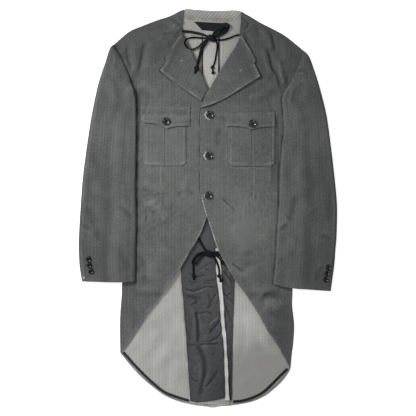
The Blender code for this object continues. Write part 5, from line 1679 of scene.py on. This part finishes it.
def buttonForm(name, look):
    # a disc with a raised rim, a sunken middle and four holes
    radius, high = look["radius"] * mm, look["high"] * mm
    bpy.ops.object.select_all(action="DESELECT")
    bpy.ops.mesh.primitive_cylinder_add(vertices=48, radius=radius, depth=high * 0.5,
                                        location=(0, 0, high * 0.25))
    form = bpy.context.object
    form.name = name
    bpy.ops.object.transform_apply(location=True, rotation=True, scale=True)
    bpy.ops.object.mode_set(mode="EDIT")
    bpy.ops.mesh.select_mode(type="FACE")
    bpy.ops.mesh.select_all(action="DESELECT")
    bpy.ops.object.mode_set(mode="OBJECT")
    for face in form.data.polygons:
        face.select = face.normal.z > 0.9
    bpy.ops.object.mode_set(mode="EDIT")
    for wide, up in buttons["profile"]:
        bpy.ops.mesh.inset(thickness=radius * wide, depth=high * up)
    bpy.ops.object.mode_set(mode="OBJECT")
    for k in range(4):
        turn = math.pi / 4 + k * math.pi / 2
        apart = look["holeSpread"] * mm
        bpy.ops.object.select_all(action="DESELECT")
        bpy.ops.mesh.primitive_cylinder_add(vertices=14, radius=look["holes"] * mm, depth=high * 3,
                                            location=(apart * math.cos(turn), apart * math.sin(turn),
                                                      high / 2))
        drill = bpy.context.object
        cut = form.modifiers.new("hole", "BOOLEAN")
        cut.operation, cut.object = "DIFFERENCE", drill
        selectOnly(form)
        bpy.ops.object.modifier_apply(modifier="hole")
        bpy.data.objects.remove(drill)
    soft = form.modifiers.new("softEdges", "BEVEL")
    soft.width, soft.segments = radius * 0.03, 2
    soft.limit_method, soft.angle_limit = "ANGLE", math.radians(38)
    selectOnly(form)
    bpy.ops.object.modifier_apply(modifier="softEdges")
    form.data.materials.append(materials[look["finish"]])
    bpy.ops.object.shade_smooth_by_angle(angle=math.radians(55))
    return form


def makeButtons():
    forms = {kind: buttonForm(kind + "ButtonForm", buttons[kind]) for kind in ("front", "cuff")}
    threads = []
    for name, kind, x, y, surface in buttons["places"]:
        look = buttons[kind]
        reach = look["radius"] * 0.9
        around = surface(np.array([x + reach, x - reach, x, x, x]), np.array([y, y, y + reach, y - reach, y]))
        leanX, leanY = (around[0] - around[1]) / 2, (around[2] - around[3]) / 2
        normal = Vector((-buttons["lean"] * leanX / reach, -buttons["lean"] * leanY / reach, 1))
        seat = max(around[4], around[:4].mean()) + oneUp + buttons["air"]
        seat += (1 - buttons["lean"]) * math.hypot(leanX, leanY)
        turn = Vector((0, 0, 1)).rotation_difference(normal.normalized()).to_matrix().to_4x4()
        mesh = forms[kind].data.copy()
        angle = x * 0.7                  # each button is sewn on at another angle
        place = Matrix.Translation((x * mm, y * mm, seat * mm))
        mesh.transform(place @ turn @ Matrix.Rotation(angle, 4, "Z"))
        piece = bpy.data.objects.new(name, mesh)
        mesh.name = name
        bpy.context.scene.collection.objects.link(piece)
        pieces[name] = settle(piece, "button", nodeOf(name))
        apart = look["holeSpread"] * 1.4
        for k, heading in enumerate((0.0, math.pi / 2)):
            for shift in (-0.5, 0.5):
                dx, dy = (0, shift * apart) if k == 0 else (shift * apart, 0)
                rx = dx * math.cos(angle) - dy * math.sin(angle)
                ry = dx * math.sin(angle) + dy * math.cos(angle)
                threads.append((x + rx, y + ry, seat + look["high"] * 0.42 + 0.15, heading + angle,
                                apart / thread["length"] * 1.15, 1.5))
    for form in forms.values():
        bpy.data.objects.remove(form)
    sewn("buttonThreads", threads, "blackThread", "button")


makeButtons()
print("buttons made")


# buttonholes: close purl stitches round the eye that shows beside each button
buttonholes = {
    "pitch": 0.62, "reach": 3.9,
    # button x and y, start and end of the eye round it in degrees, and its radius
    "eyes": [(5, 236, 138, 268, 11.4), (3, 132, 126, 240, 11.6), (2, 31, 168, 196, 10.8),
             (5, 236, -6, 10, 11.8), (3, 132, -12, 4, 11.6)],
    "slits": [(5, 236, -14, -10.4), (3, 132, -15, -10.6), (2, 31, -12, -10.2)],
}


def makeButtonholes():
    stitches = []
    for x, y, start, end, radius in buttonholes["eyes"]:
        angles = np.arange(math.radians(start), math.radians(end), buttonholes["pitch"] / radius)
        for k, angle in enumerate(angles):
            out = radius + 0.3 * math.sin(k * 1.7)
            px, py = x + out * math.cos(angle), y + out * math.sin(angle)
            share = buttonholes["reach"] / thread["length"] * (0.85 + 0.15 * math.sin(k * 2.3))
            stitches.append((px, py, 0, angle + 0.05 * math.sin(k), share, 1.2))
    for x, y, low, high in buttonholes["slits"]:
        for off in np.arange(low, high, buttonholes["pitch"]):
            for shift in (-1.1, 1.1):
                stitches.append((x + off, y + shift, 0, math.pi / 2, 0.8, 1.1))
    stitches = np.array(stitches)
    stitches[:, 2] = frontLeft(stitches[:, 0], stitches[:, 1]) + layers["cloth"] + 0.12
    sewn("buttonholeThreads", stitches, "paleThread", "face_cloth")


makeButtonholes()
print("buttonholes made")


total = sum(sum(len(face.vertices) - 2 for face in piece.data.polygons) for piece in pieces.values())
print("triangles in the cloth and its trims:", total)
